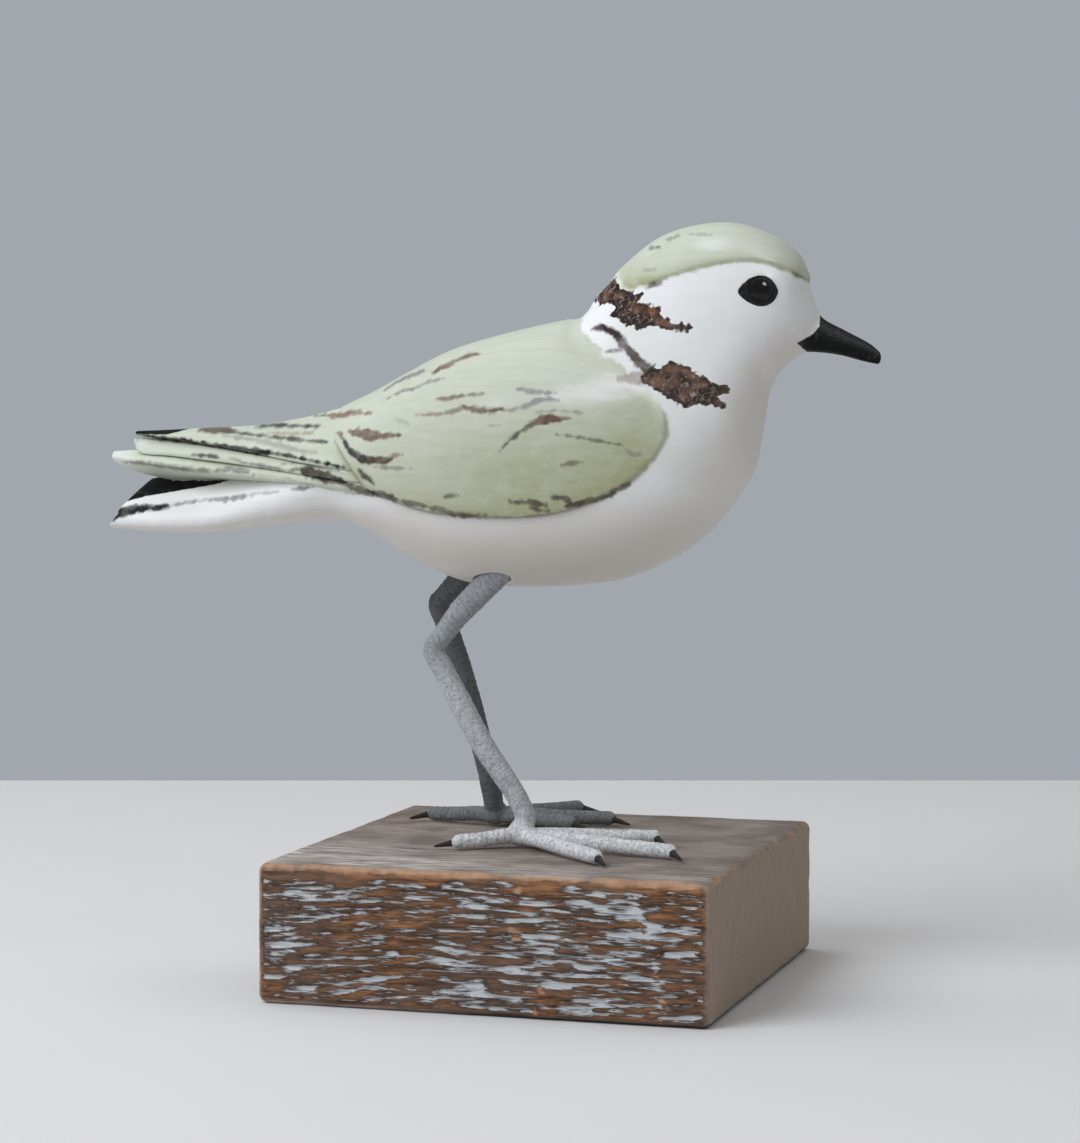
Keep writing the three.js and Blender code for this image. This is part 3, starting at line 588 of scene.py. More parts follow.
def normals_of(points, faces):
    a, b, c = (points[faces[:, k]] for k in range(3))
    flat = np.cross(b - a, c - a)
    total = np.zeros_like(points)
    for k in range(3):
        np.add.at(total, faces[:, k], flat)
    return total / np.maximum(np.linalg.norm(total, axis=1, keepdims=True), 1e-12)


def rounded_ends(table, first, last):
    """The table with rows that close its ends: each a share of the end ring's size, and how far out."""
    def closing(ring, outwards, steps):
        centre = ring.mean(axis=0)
        return np.array([centre + (ring - centre) * size + outwards * out for size, out in steps])

    start = table[0].mean(0) - table[1].mean(0)
    end = table[-1].mean(0) - table[-2].mean(0)
    return np.concatenate([
        closing(table[0], start / np.linalg.norm(start), first[::-1]),
        table,
        closing(table[-1], end / np.linalg.norm(end), last),
    ])


def in_scene(name, data):
    thing = bpy.data.objects.new(name, data)
    bpy.context.scene.collection.objects.link(thing)
    return thing


def make_piece(name, points, faces, slot=0):
    mesh = bpy.data.meshes.new(name)
    mesh.from_pydata(np.asarray(points, float) * MM, [], np.asarray(faces).tolist())
    mesh.polygons.foreach_set("material_index", np.full(len(faces), slot))
    mesh.update()
    return in_scene(name, mesh)


def points_of(piece):
    flat = np.empty(3 * len(piece.data.vertices))
    piece.data.vertices.foreach_get("co", flat)
    return flat.reshape(-1, 3) / MM


def triangles_of(piece):
    piece.data.calc_loop_triangles()
    flat = np.empty(3 * len(piece.data.loop_triangles), np.int32)
    piece.data.loop_triangles.foreach_get("vertices", flat)
    return flat.reshape(-1, 3)


def put_points(piece, points):
    piece.data.vertices.foreach_set("co", (np.asarray(points) * MM).ravel())
    piece.data.update()


def put_values(piece, **values):
    for name, of_points in values.items():
        layer = piece.data.attributes.new(name, "FLOAT", "POINT")
        layer.data.foreach_set("value", np.asarray(of_points, np.float32))


def baked(piece):
    """The piece with its modifiers made part of its mesh."""
    graph = bpy.context.evaluated_depsgraph_get()
    mesh = bpy.data.meshes.new_from_object(piece.evaluated_get(graph))
    piece.modifiers.clear()
    piece.data = mesh
    return piece


def lumps(points, size, seed):
    """Smooth chance values from -1 to 1 over points, in lumps of one size or of one along each axis."""
    places = points / size
    low = np.floor(places.min(axis=0)).astype(int)
    base = np.floor(places).astype(int)
    share = places - base
    share = share * share * (3 - 2 * share)
    base = base - low
    chance = np.random.default_rng(seed).uniform(-1, 1, tuple(base.max(axis=0) + 2))
    total = np.zeros(len(points))
    for corner in np.ndindex(*(2,) * points.shape[1]):
        corner = np.array(corner)
        weight = np.prod(np.where(corner, share, 1 - share), axis=1)
        total += weight * chance[tuple((base + corner).T)]
    return total


# The carving

def carving_table():
    fine = np.linspace(0, len(SECTIONS) - 1, FINE_ROWS)
    ends = curve_through(SECTIONS, fine)
    top, bottom = side_points(ends[:, :2]), side_points(ends[:, 2:4])
    steps = (np.linalg.norm(np.diff(edge, axis=0), axis=1) for edge in (top, bottom))
    length = np.concatenate([[0], np.cumsum(sum(steps) / 2)])
    tip = np.interp(BILL_END, fine, length)
    place = np.interp(np.arange(0, tip, TABLE_STEP), length, fine)
    row = curve_through(SECTIONS, place)
    top, bottom = side_points(row[:, :2]), side_points(row[:, 2:4])
    half = across_place(row[:, 4])[:, None]
    level, roof, keel = row[:, 5, None], row[:, 6, None], row[:, 7, None]
    angle = np.linspace(-np.pi / 2, 3 * np.pi / 2, FINE_ROUND, endpoint=False)
    c, s = np.cos(angle)[None], np.sin(angle)[None]
    power = 2 / np.where(s >= 0, roof, keel)
    share = level + np.where(s >= 0, 1 - level, -level) * np.abs(s) ** power
    rise = top - bottom
    rings = np.stack([
        bottom[:, :1] + rise[:, :1] * share,
        half * np.sign(c) * np.abs(c) ** power,
        bottom[:, 1:] + rise[:, 1:] * share,
    ], axis=-1)
    table = np.array([evenly(ring, RING_POINTS, closed=True) for ring in rings])
    turn = np.linspace(0, 0.48 * np.pi, 7)[1:]
    bill_tip = [[math.cos(t), BILL_TIP_RADIUS * math.sin(t)] for t in turn]
    tail_end = [[0.985, 0.15], [0.95, 0.28], [0.85, 0.35], [0.6, 0.37], [0.3, 0.38], [0.02, 0.38]]
    return rounded_ends(table, tail_end, bill_tip), len(tail_end), len(bill_tip)


def layer_height(points):
    """How far the carver left each place of the mass standing as wing, cap or tail."""
    side = points[:, [0, 2]]
    wing = -patch_distance(side, WING_OUTLINE)
    ahead = smooth_step(along_place(60), along_place(70), side[:, 0])
    slope = 0.5 + 0.5 * ahead + 9 * faded(side, SHOULDER)
    height = WING_PROUD * (1 - 0.5 * ahead) * smooth_step(-0.1, slope, wing)
    cap = -patch_distance(side, CAP_OUTLINE)
    behind = smooth_step(along_place(72), along_place(67), side[:, 0])
    height = np.maximum(height, CAP_PROUD * smooth_step(-0.1, 0.8 + 3 * behind, cap))
    tail = -patch_distance(side, TAIL_OUTLINE)
    root = smooth_step(along_place(17), along_place(27), side[:, 0])
    return np.maximum(height, TAIL_PROUD * (1 - root) * smooth_step(-0.05, 0.45, tail))


def feather_table(rows, side):
    row = curve_through(rows, np.linspace(0, len(rows) - 1, FEATHER_RINGS))
    along = along_place(row[:, 0])
    ridge, rim, lining = (
        np.stack([np.maximum(across_place(row[:, k]), WING_PARTING), up_place(row[:, k + 1])], axis=1)
        for k in (1, 3, 5))
    across = rim - ridge
    crown = FEATHER_CROWN * np.linalg.norm(across, axis=1)
    outwards = np.stack([-across[:, 1], across[:, 0]], axis=1)
    outwards /= np.linalg.norm(outwards, axis=1, keepdims=True)
    edge = FEATHER_EDGE * np.minimum(1, rim[:, 0] / across_place(FULL_RIM))
    share = np.linspace(0, 1, CROWN_POINTS)[None, :, None]
    face = (ridge[:, None] + across[:, None] * share
            + 4 * crown[:, None, None] * outwards[:, None] * share * (1 - share))
    low_rim = rim - np.stack([np.zeros_like(edge), edge], axis=1)
    sections = np.concatenate([face, low_rim[:, None], lining[:, None]], axis=1)
    rings = []
    for k, section in enumerate(sections):
        ring = evenly(section, FEATHER_POINTS, closed=True)
        for _ in range(3):
            ring = (np.roll(ring, 1, axis=0) + 2 * ring + np.roll(ring, -1, axis=0)) / 4
        rings.append(np.stack([np.full(len(ring), along[k]), side * ring[:, 0], ring[:, 1]], axis=1))
    tip = [[0.93, 0.2], [0.75, 0.38], [0.4, 0.45], [0.05, 0.47]]
    return rounded_ends(np.array(rings), [[0.5, 0], [0.05, 0]], tip), 2, len(tip)


def skin_of(table, closing_start, closing_end, step, columns, wanted, rounds):
    """A skin over a table whose first and last rows close its ends."""
    inner = np.arange(closing_start, len(table) - closing_end, step)
    rows = np.concatenate([
        np.arange(closing_start), inner, np.arange(len(table) - closing_end - 1, len(table))])
    return fine_skin(table, np.unique(rows), columns, wanted, rounds)


def first_touch(points, faces, origin, direction):
    """Where a straight line first meets the mass."""
    a, b, c = (points[faces[:, k]] for k in range(3))
    e1, e2 = b - a, c - a
    h = np.cross(direction, e2)
    det = np.einsum("ij,ij->i", e1, h)
    det = np.where(np.abs(det) < 1e-12, 1e-12, det)
    s = origin - a
    p = np.einsum("ij,ij->i", s, h) / det
    q = np.cross(s, e1)
    r = q @ direction / det
    t = np.einsum("ij,ij->i", e2, q) / det
    hit = (p >= 0) & (r >= 0) & (p + r <= 1) & (t > 0)
    return origin + t[hit].min() * np.asarray(direction, float)


# The mass of the body before its layers are carved, a little coarser
MASS = skin_of(*carving_table(), *CARVING_START, lambda centre: np.full(len(centre), MASS_EDGE), rounds=1)


def eye_centre(side):
    u, z = side_points([EYE_PLACE])[0]
    touch = first_touch(*MASS, np.array([u, side * BIRD_WIDTH, z]), np.array([0, -side, 0.0]))
    return touch + [0, side * (EYE_PROUD - EYE_RADIUS), 0]


def hip_touch(hip):
    below = np.array([along_place(hip[0]), across_place(hip[1]), BLOCK_HEIGHT])
    return first_touch(*MASS, below, np.array([0, 0, 1.0]))


# Legs

def leg_points(stance):
    touch = on_block(hip_touch(stance["hip"]))
    foot = np.array([*stance["foot"], BLOCK_HEIGHT + CLEARANCE + FOOT_RADIUS])
    ankle = foot + stance["ankle"]
    knee = np.array([foot[0] + stance["knee"][0], foot[1] + stance["knee"][1],
                     BLOCK_HEIGHT + stance["knee_height"] * BELLY_CLEARANCE])
    thigh = touch - knee
    top = touch + thigh / np.linalg.norm(thigh) * SOCKET_DEPTH
    return top, touch, knee, ankle, foot


def bent_through(stops, step):
    """A smooth bend through the stops, as a bent wire takes it, with points at equal steps."""
    stops = np.array(stops, float)
    ends = np.concatenate([[2 * stops[0] - stops[1]], stops, [2 * stops[-1] - stops[-2]]])
    line = []
    for k in range(len(stops) - 1):
        p0, p1, p2, p3 = ends[k:k + 4]
        d0, d1, d2 = (np.sqrt(np.linalg.norm(b - a)) for a, b in ((p0, p1), (p1, p2), (p2, p3)))
        m1 = ((p1 - p0) / d0 - (p2 - p0) / (d0 + d1) + (p2 - p1) / d1) * d1
        m2 = ((p2 - p1) / d1 - (p3 - p1) / (d1 + d2) + (p3 - p2) / d2) * d1
        line.append(bend(np.linspace(0, 1, BEND_STEPS, endpoint=False)[:, None], p1, p2, m1, m2))
    line = np.concatenate([*line, stops[-1:]])
    length = np.linalg.norm(np.diff(line, axis=0), axis=1).sum()
    return evenly(line, max(4, int(round(length / step)) + 1))


def leg_bars(stance):
    """Every bar of a leg as (its points, its radii, what it is)."""
    top, touch, knee, ankle, foot = leg_points(stance)

    def bowed(start, end, bow, shares):
        return [start + (end - start) * s + [-4 * bow * s * (1 - s), 0, 0] for s in shares]

    wire = bent_through([top, touch, *bowed(touch, knee, stance["thigh_bow"], THIGH_STOPS), knee,
                         *bowed(knee, ankle, stance["shank_bow"], SHANK_STOPS), ankle, foot], LEG_STEP)
    thigh, shank = np.linalg.norm(top - knee), np.linalg.norm(knee - foot)
    knee_share = thigh / (thigh + shank)
    share = np.linspace(0, 1, len(wire))
    from_knee = share - knee_share
    place = from_knee / np.where(from_knee < 0, knee_share, 1 - knee_share)
    radius = np.empty(len(wire))
    for (start, r0), (end, r1) in zip(LEG_WRAPPING[:-1], LEG_WRAPPING[1:]):
        here = (place >= start - 1e-9) & (place <= end + 1e-9)
        radius[here] = r0 + (r1 - r0) * smooth_step(start, end, place[here])
    bars = [(wire, radius, "wire"), (foot[None], np.array([FOOT_RADIUS]), "ball")]
    ground = BLOCK_HEIGHT + CLEARANCE
    for length, bearing, claw_turn in stance["toes"]:
        heading, bent = math.radians(bearing), math.radians(bearing + claw_turn)
        forward = np.array([math.cos(heading), math.sin(heading), 0])
        start = np.array([*stance["foot"], ground + FOOT_RADIUS * TOE_ROOT_HEIGHT])
        stops = [start]
        for part, height in TOE_ARCH:
            stop = start + forward * part * length
            stop[2] = ground + height * TOE_RADIUS
            stops.append(stop)
        toe = bent_through(stops, LEG_STEP)
        end = stops[-1]
        claw_end = end + np.array([math.cos(bent), math.sin(bent), 0]) * CLAW_LENGTH
        claw_end[2] = ground + CLAW_TIP_RADIUS
        middle = end + (claw_end - end) * CLAW_MIDDLE
        middle[2] = ground + CLAW_LEVEL * TOE_RADIUS
        claw = bent_through([end + (claw_end - end) * CLAW_ROOT, middle, claw_end], CLAW_STEP)
        bars += [(toe, np.linspace(TOE_ROOT_RADIUS, TOE_RADIUS, len(toe)), "toe"),
                 (end[None], np.array([TOE_RADIUS]), "ball"),
                 (claw, np.linspace(CLAW_RADIUS, CLAW_TIP_RADIUS, len(claw)), "claw")]
    return bars


def turning_frames(line):
    """Two directions across a line at each of its points, which turn with it and don't twist."""
    ahead = np.gradient(line, axis=0)
    ahead /= np.linalg.norm(ahead, axis=1, keepdims=True)
    first = np.cross(ahead[0], [0, 1.0, 0.1])
    sideways = [first / np.linalg.norm(first)]
    for direction in ahead[1:]:
        across = sideways[-1] - direction * (sideways[-1] @ direction)
        sideways.append(across / np.linalg.norm(across))
    sideways = np.array(sideways)
    return sideways, np.cross(ahead, sideways)


def rings_round(line, radius, sides):
    x, y = turning_frames(line)
    angle = np.arange(sides) * 2 * np.pi / sides
    about = np.cos(angle)[None, :, None] * x[:, None] + np.sin(angle)[None, :, None] * y[:, None]
    return line[:, None] + np.asarray(radius)[..., None, None] * about


def bar_skin(line, radius, sides=LEG_SIDES):
    """A bar's closed skin, with half-round ends; a single point gives a ball."""
    if len(line) == 1:
        line = np.array([line[0] - [0.01, 0, 0], line[0] + [0.01, 0, 0]])
        radius = np.repeat(radius, 2)
    turn = np.linspace(0, 0.49 * np.pi, 9)[1:]
    first, last = ([[math.cos(t), end * math.sin(t)] for t in turn] for end in (radius[0], radius[-1]))
    table = rounded_ends(rings_round(line, radius, sides), first, last)
    return fine_skin(table, np.arange(len(table)), sides)


def wrapped_leg(name, stance):
    bars = leg_bars(stance)
    all_points, all_faces, count = [], [], 0
    for line, radius, _ in bars:
        points, faces = bar_skin(line, radius)
        all_points.append(points)
        all_faces.append(faces + count)
        count += len(points)
    leg = make_piece(name, np.concatenate(all_points), np.concatenate(all_faces))
    remesh = leg.modifiers.new("one skin", "REMESH")
    remesh.mode = "VOXEL"
    remesh.voxel_size = LEG_SKIN * MM
    soften = leg.modifiers.new("rub down", "SMOOTH")
    soften.factor = 0.5
    soften.iterations = 6
    wrap(baked(leg), bars)
    return leg


def wrap(leg, bars):
    """Raises the wrapping's turns on the skin, and notes where they end, for painted shade there, and where
    the claws are.
    """
    points = points_of(leg)
    places, radii, lengths, claws, x, y = map(np.concatenate, zip(*(
        (line, radius, length_along(line), np.full(len(line), kind == "claw"), *turning_frames(line))
        for line, radius, kind in bars if len(line) > 1)))
    nearest = np.empty(len(points), int)
    gap = np.empty(len(points))
    for start in range(0, len(points), AT_A_TIME):
        part = slice(start, start + AT_A_TIME)
        distance = np.linalg.norm(points[part, None] - places[None], axis=2) - radii[None]
        nearest[part] = np.argmin(distance, axis=1)
        gap[part] = distance.min(axis=1)
    away = points - places[nearest]
    angle = np.arctan2(*(np.einsum("ij,ij->i", away, way[nearest]) for way in (y, x)))
    claw = claws[nearest]
    wander = 0.8 * lumps(points, 5, 3) + 0.25 * lumps(points, 1.8, 4)
    turn = lengths[nearest] / WRAP_PITCH + angle / (2 * np.pi) + wander
    across = turn - np.floor(turn)
    tape = smooth_step(0, 0.22, across) * (1 - 0.75 * across)
    wrapped = np.where(claw, 0, 1) * smooth_step(0.5, 0.1, gap)
    grit = GRIT_HEIGHT * lumps(points, 1.1, 5)
    dents = DENT_DEPTH * lumps(points, 4, 6)
    height = wrapped * (WRAP_HEIGHT * tape + grit + dents)
    normals = normals_of(points, triangles_of(leg))
    put_points(leg, points + normals * height[:, None])
    rise = points[:, 2] - BLOCK_HEIGHT
    put_values(leg, claw=claw, turn_edge=wrapped * (1 - smooth_step(0, 0.3, across)),
               low=0.5 * smooth_step(45, 34, rise) + 0.5 * smooth_step(9, 3, rise))


# The carving as one piece, with its feather groups joined and its eye pockets and leg sockets cut

FEATHER_SLOT = 1   # marks the faces of feathers until the body is painted


def hip_socket(stance):
    top, touch = leg_points(stance)[:2]
    away = (top - touch) / np.linalg.norm(top - touch)
    line = np.array([top + away * CLEARANCE, touch - away * 2 * LEG_TOP_RADIUS])
    table = rings_round(on_block(line, -BIRD_HEADING), LEG_TOP_RADIUS + CLEARANCE, SOCKET_SIDES)
    return fine_skin(table, [0, 1], SOCKET_SIDES)


def carved_body():
    points, faces = skin_of(*carving_table(), *CARVING_START, wanted_length, rounds=6)
    normals = normals_of(points, faces)
    height = layer_height(points) + KNIFE_WAVES * lumps(points, 9, 11)
    body = make_piece("plover_carving", points + normals * height[:, None], faces)
    tools = []
    for side in (-1, 1):
        for rows in (TERTIALS, UPPER_PRIMARIES, LOWER_PRIMARIES):
            feathers = skin_of(*feather_table(rows, side), *FEATHER_START, wanted_length, rounds=5)
            tools.append((make_piece("feathers", *feathers, FEATHER_SLOT), "UNION"))
        pocket = bar_skin(eye_centre(side)[None], np.array([EYE_RADIUS + BEAD_GAP]), EYE_SIDES)
        tools.append((make_piece("pocket", *pocket), "DIFFERENCE"))
    for stance in (RIGHT_STANCE, LEFT_STANCE):
        tools.append((make_piece("socket", *hip_socket(stance)), "DIFFERENCE"))
    for tool, operation in tools:
        cut = body.modifiers.new("join or cut", "BOOLEAN")
        cut.solver = "MANIFOLD"
        cut.operation = operation
        cut.object = tool
    baked(body)
    for tool, _ in tools:
        bpy.data.objects.remove(tool)
    return body


def paint_body(body):
    """Notes on the skin how far each point is from the edges of the paint, where the paint is worn, and where
    painted shade and a painted sheen lie.
    """
    points = points_of(body)
    side = points[:, [0, 2]]
    right = points[:, 1] < 0
    feathers = np.zeros(len(points), bool)
    index = np.empty(len(body.data.polygons), np.int32)
    body.data.polygons.foreach_get("material_index", index)
    for polygon in np.flatnonzero(index == FEATHER_SLOT):
        feathers[list(body.data.polygons[polygon].vertices)] = True
    wing, cap, rump, bill, almond, wing_tip, tail, nape, collar = (patch_distance(side, patch) for patch in (
        WING_OUTLINE, CAP_OUTLINE, RUMP_GREEN, BILL_PAINT, ALMOND, WING_TIP_BLACK, TAIL_BLACK, NAPE_SCRAPE,
        COLLAR_SCRAPE))
    green = np.minimum.reduce([wing, cap, rump, np.where(feathers, -3.0, MARK_REACH)])
    black = np.minimum.reduce([bill, almond, np.where(feathers, wing_tip, tail)])
    scrape = np.minimum(nape, collar)
    mark, tone, strength = (np.where(right, a, b) for a, b in zip(
        nearest_mark(side, MARKS), nearest_mark(side + LEFT_SHIFT, LEFT_MARKS)))

    # Rubbed back to the white ground in spots and round the collar, with a painted sheen on the crown; deep
    # in spots, with painted shade along the wing's lower edge and inside the cap's lower edge
    collar = np.minimum(scrape, nearest_mark(side, COLLAR_MARKS)[0])
    rub = faded(side, RUBBED_SPOTS) + 0.8 * np.exp(-(np.maximum(collar, 0) / 1.3) ** 2)
    low_edge = (smooth_step(along_place(74), along_place(69), side[:, 0])
                * smooth_step(up_place(45), up_place(30), side[:, 1]))
    deep = (faded(side, DEEP_SPOTS) + 0.5 * np.exp(-(wing / 2.5) ** 2) * low_edge
            + 0.7 * np.clip(1 - np.abs(cap) / 3, 0, 1) * (cap < 0))

    # Painted shade: the white is warmer and darker where the skin looks down or to the front
    normals = normals_of(points, triangles_of(body))
    front = smooth_step(0.2, 0.9, normals[:, 0]) * smooth_step(up_place(76), up_place(62), side[:, 1])
    under_tail = smooth_step(along_place(42), along_place(30), side[:, 0])
    below = smooth_step(-0.05 - 0.65 * under_tail, -0.7 - 0.25 * under_tail, normals[:, 2])
    put_values(
        body, green=np.clip(green, -8, 8), black=np.clip(black, -4, 4), scrape=np.clip(scrape, -4, 4),
        # the crease: a line of painted shade under the wing's lower edge, low on the wing
        mark=mark, mark_tone=tone, mark_strength=strength, crease=0.6 * low_edge * np.exp(-(wing / 0.5) ** 2),
        rub=np.clip(rub, 0, 1.2), deep=np.clip(deep, 0, 1.3), warm=np.maximum(below, 0.8 * front),
        rust=faded(side, RUST_SPOTS), almond=smooth_step(1, 0.3, almond))
    put_points(body, on_block(points))
    body.data.polygons.foreach_set("material_index", np.zeros_like(index))


# Materials: one function adds a node with its settings and its links

def linear(code):
    """A colour given as sRGB hex, as the linear values that Blender takes."""
    values = [int(code[k:k + 2], 16) / 255 for k in (1, 3, 5)]
    return [v / 12.92 if v <= 0.04045 else ((v + 0.055) / 1.055) ** 2.4 for v in values] + [1]


def add(material, kind, inputs=None, out=0, **settings):
    """Adds a node and returns one of its outputs, if it has any. An input is a value, a hex colour or the
    output of another node."""
    tree = material.node_tree
    node = tree.nodes.new(kind)
    for name, value in settings.items():
        setattr(node, name, value)
    for key, value in (inputs or {}).items():
        if isinstance(value, bpy.types.NodeSocket):
            tree.links.new(value, node.inputs[key])
        else:
            node.inputs[key].default_value = linear(value) if isinstance(value, str) else value
    return node.outputs[out] if node.outputs else None


def new_material(name):
    material = bpy.data.materials.new(name)
    material.use_nodes = True
    material.node_tree.nodes.clear()
    return material


def per_mm(*sizes):
    """The scale that gives a pattern features of a size in millimetres, or of three sizes along the axes."""
    scales = [1 / (size * MM) for size in sizes]
    return scales if len(scales) > 1 else scales[0]


def chalk_painted_wood():
    # Carved lime wood under chalk paint, rubbed back to the dark wood in places and waxed: a soft sheen over
    # flat white and sage green, with ragged brown scrapes and hand-drawn black lines
    m = new_material("chalk paint on carved wood, rubbed back and waxed")
    place = add(m, "ShaderNodeTexCoord", out="Object")
    grit, blotch, cloud = (
        add(m, "ShaderNodeTexNoise", {
            "Vector": place, "Scale": per_mm(size), "Detail": detail, "Roughness": rough})
        for size, detail, rough in ((1.1, 3, 0.6), (3.2, 4, 0.5), (15, 3, 0.5)))
    # The brush went along the bird. Strokes and scrapes were laid on from the side, so the pattern that curls
    # their edges hardly changes across the bird.
    along_bird = (0, 0, -BIRD_HEADING)
    brush, curl = (
        add(m, "ShaderNodeTexNoise", {"Scale": 1, "Detail": detail, "Roughness": rough, "Vector": add(
            m, "ShaderNodeMapping", {"Vector": place, "Rotation": along_bird, "Scale": per_mm(*sizes)})})
        for sizes, detail, rough in (((16, 1.6, 1.6), 5, 0.6), ((1.6, 7, 1.6), 1.5, 0.5)))
    shows = {name: add(m, "ShaderNodeAttribute", attribute_name=name, out="Fac") for name in (
        "green", "black", "scrape", "mark", "mark_tone", "mark_strength", "rub", "deep", "crease", "warm",
        "rust", "almond")}
    depth = shows["scrape"]

    # The edge of each painted area, made ragged by a pattern and then turned into how much of it shows
    for name, pattern, ragged, soft in (
            ("green", curl, 2, 0.55), ("black", grit, 0.4, 0.12), ("scrape", curl, 3, 0.2),
            ("mark", curl, 1.7, 0.42)):
        edge = add(m, "ShaderNodeMath", {0: pattern, 1: -0.5}, operation="ADD")
        edge = add(m, "ShaderNodeMath", {0: edge, 1: ragged, 2: shows[name]}, operation="MULTIPLY_ADD")
        shows[name] = add(m, "ShaderNodeMapRange", {
            "Value": edge, "From Min": soft, "From Max": -soft}, interpolation_type="SMOOTHSTEP")

    # How much the rest shows: a pattern, its values at the start and the end, and how much shows there
    # The wash carries the deep green and its painted shade, and the rubbed share the rubbing and the painted
    # sheen on the crown
    wash, rubbed = (add(m, "ShaderNodeMath", {0: brush, 1: share, 2: shows[name]}, operation="MULTIPLY_ADD")
                    for share, name in ((0.9, "deep"), (1.2, "rub")))
    scuffed = add(m, "ShaderNodeMath", {0: brush, 1: grit}, operation="ADD")
    winding = add(m, "ShaderNodeMath", {0: curl, 1: -0.56}, operation="ADD")
    winding = add(m, "ShaderNodeMath", {0: winding}, operation="ABSOLUTE")
    for name, pattern, low, high, least, most in (
            ("cloudy", cloud, 0.35, 0.65, 0, 1), ("thin", brush, 0.55, 0.8, 0, 0.35),
            ("wash", wash, 0.3, 1.5, 0, 1), ("mottle", blotch, 0.5, 0.75, 0, 0.26),
            ("unbroken", blotch, 0.45, 0.7, 1, 0.75), ("wood_tone", blotch, 0.42, 0.68, 0, 1),
            ("rusty", grit, 0.38, 0.6, 0.25, 1), ("crumb", grit, 0.6, 0.68, 0, 0.55),
            # the rim is painted shade: bare wood darkest at the paint's edge
            ("winding", winding, 0.04, 0.01, 0, 0.4), ("rim", depth, -1.1, 0.1, 0, 0.85),
            ("scuff", scuffed, 1.08, 1.3, 0, 0.8)):
        shows[name] = add(m, "ShaderNodeMapRange", {
            "Value": pattern, "From Min": low, "From Max": high, "To Min": least, "To Max": most})
    shows["ground"] = add(m, "ShaderNodeMapRange", {
        "Value": rubbed, "From Min": 0.8, "From Max": 1.6, "To Max": 0.92}, interpolation_type="SMOOTHSTEP")
    for name, by in (("rusty", "rust"), ("mark", "mark_strength"), ("mark", "unbroken")):
        shows[name] = add(m, "ShaderNodeMath", {0: shows[name], 1: shows[by]}, operation="MULTIPLY")

    # Marks take their colour by their tone
    tone = add(m, "ShaderNodeMath", {0: grit, 1: 0.4, 2: shows["mark_tone"]}, operation="MULTIPLY_ADD")
    tone = add(m, "ShaderNodeMath", {0: tone, 1: -0.2}, operation="ADD")
    ink = add(m, "ShaderNodeValToRGB", {"Fac": tone})
    stops = ink.node.color_ramp.elements
    stops[0].color, stops[1].color = linear("#1a1d20"), linear("#85818b")
    for at, code in ((0.2, "#33271f"), (0.45, "#5d4234"), (0.65, "#8c6753"), (0.82, "#5f5654")):
        stops.new(at).color = linear(code)

    # Each colour, and what lies over it. White has two tones, is warmer where the brush left it thin, and has
    # painted shade, warmer and darker, underneath and on the faces turned to the front. Green is a pale wash,
    # deeper low on the wing and in spots, with painted shade along the wing's lower edge and inside the cap's
    # lower edge, and rubbed back to its white ground, which also paints a sheen on the crown. Bare wood is
    # dark, redder in spots and darkest at the paint's edge, a painted shade, with crumbs and thin winding
    # lines of white paint left in its grain. Black has grey scuffs. A line of painted shade lies in the
    # crease under the wing's lower edge.
    colours = {"ink": ink}
    for name, colour, *coats in (
            ("white", "#f5f6f8", ("cloudy", "#eeefed"), ("thin", "#ddd5cb"), ("warm", "#d9d4cc")),
            ("green", "#d2d8ca", ("wash", "#abae88"), ("mottle", "#dadfd4"), ("ground", "#ebedea")),
            ("wood", "#261a15", ("wood_tone", "#7d5b4a"), ("rusty", "#a1582f"), ("crumb", "#c3b8b2"),
             ("winding", "#a88d7c"), ("rim", "#1a1411")),
            ("black", "#08090a", ("scuff", "#3d4145")),
            ("bird", "white", ("green", "green"), ("crease", "#77796a"), ("mark", "ink"), ("scrape", "wood"),
             ("black", "black"))):
        colour = colours.get(colour, colour)
        for share, coat in coats:
            colour = add(m, "ShaderNodeMix", {
                0: shows[share], 6: colour, 7: colours.get(coat, coat)}, 2, data_type="RGBA")
        colours[name] = colour

    # Bare wood is dull. The black of the bill and the tail is matt and gives back little of the light, and
    # that of the almond round the eye is glossy.
    rough = add(m, "ShaderNodeMapRange", {"Value": brush, "To Min": 0.34, "To Max": 0.56})
    for name, its_own in (("scrape", 0.72), ("black", 0.6), ("almond", 0.16)):
        rough = add(m, "ShaderNodeMix", {0: shows[name], 2: rough, 3: its_own}, data_type="FLOAT")
    gloss = add(m, "ShaderNodeMapRange", {"Value": shows["black"], "To Min": 0.5, "To Max": 0.22})
    gloss = add(m, "ShaderNodeMix", {0: shows["almond"], 2: gloss, 3: 0.5}, data_type="FLOAT")

    # Brush ridges and grit, and the step down into a scrape or a mark
    height = brush
    for pattern, share in ((grit, 0.5), (shows["scrape"], -2.2), (shows["mark"], -0.9)):
        height = add(m, "ShaderNodeMath", {0: pattern, 1: share, 2: height}, operation="MULTIPLY_ADD")
    bump = add(m, "ShaderNodeBump", {"Height": height, "Strength": 0.6, "Distance": 0.06 * MM})
    wood = add(m, "ShaderNodeBsdfPrincipled", {
        "Base Color": colours["bird"], "Roughness": rough, "IOR": 1.5, "Specular IOR Level": gloss,
        "Normal": bump})
    add(m, "ShaderNodeOutputMaterial", {"Surface": wood})
    return m


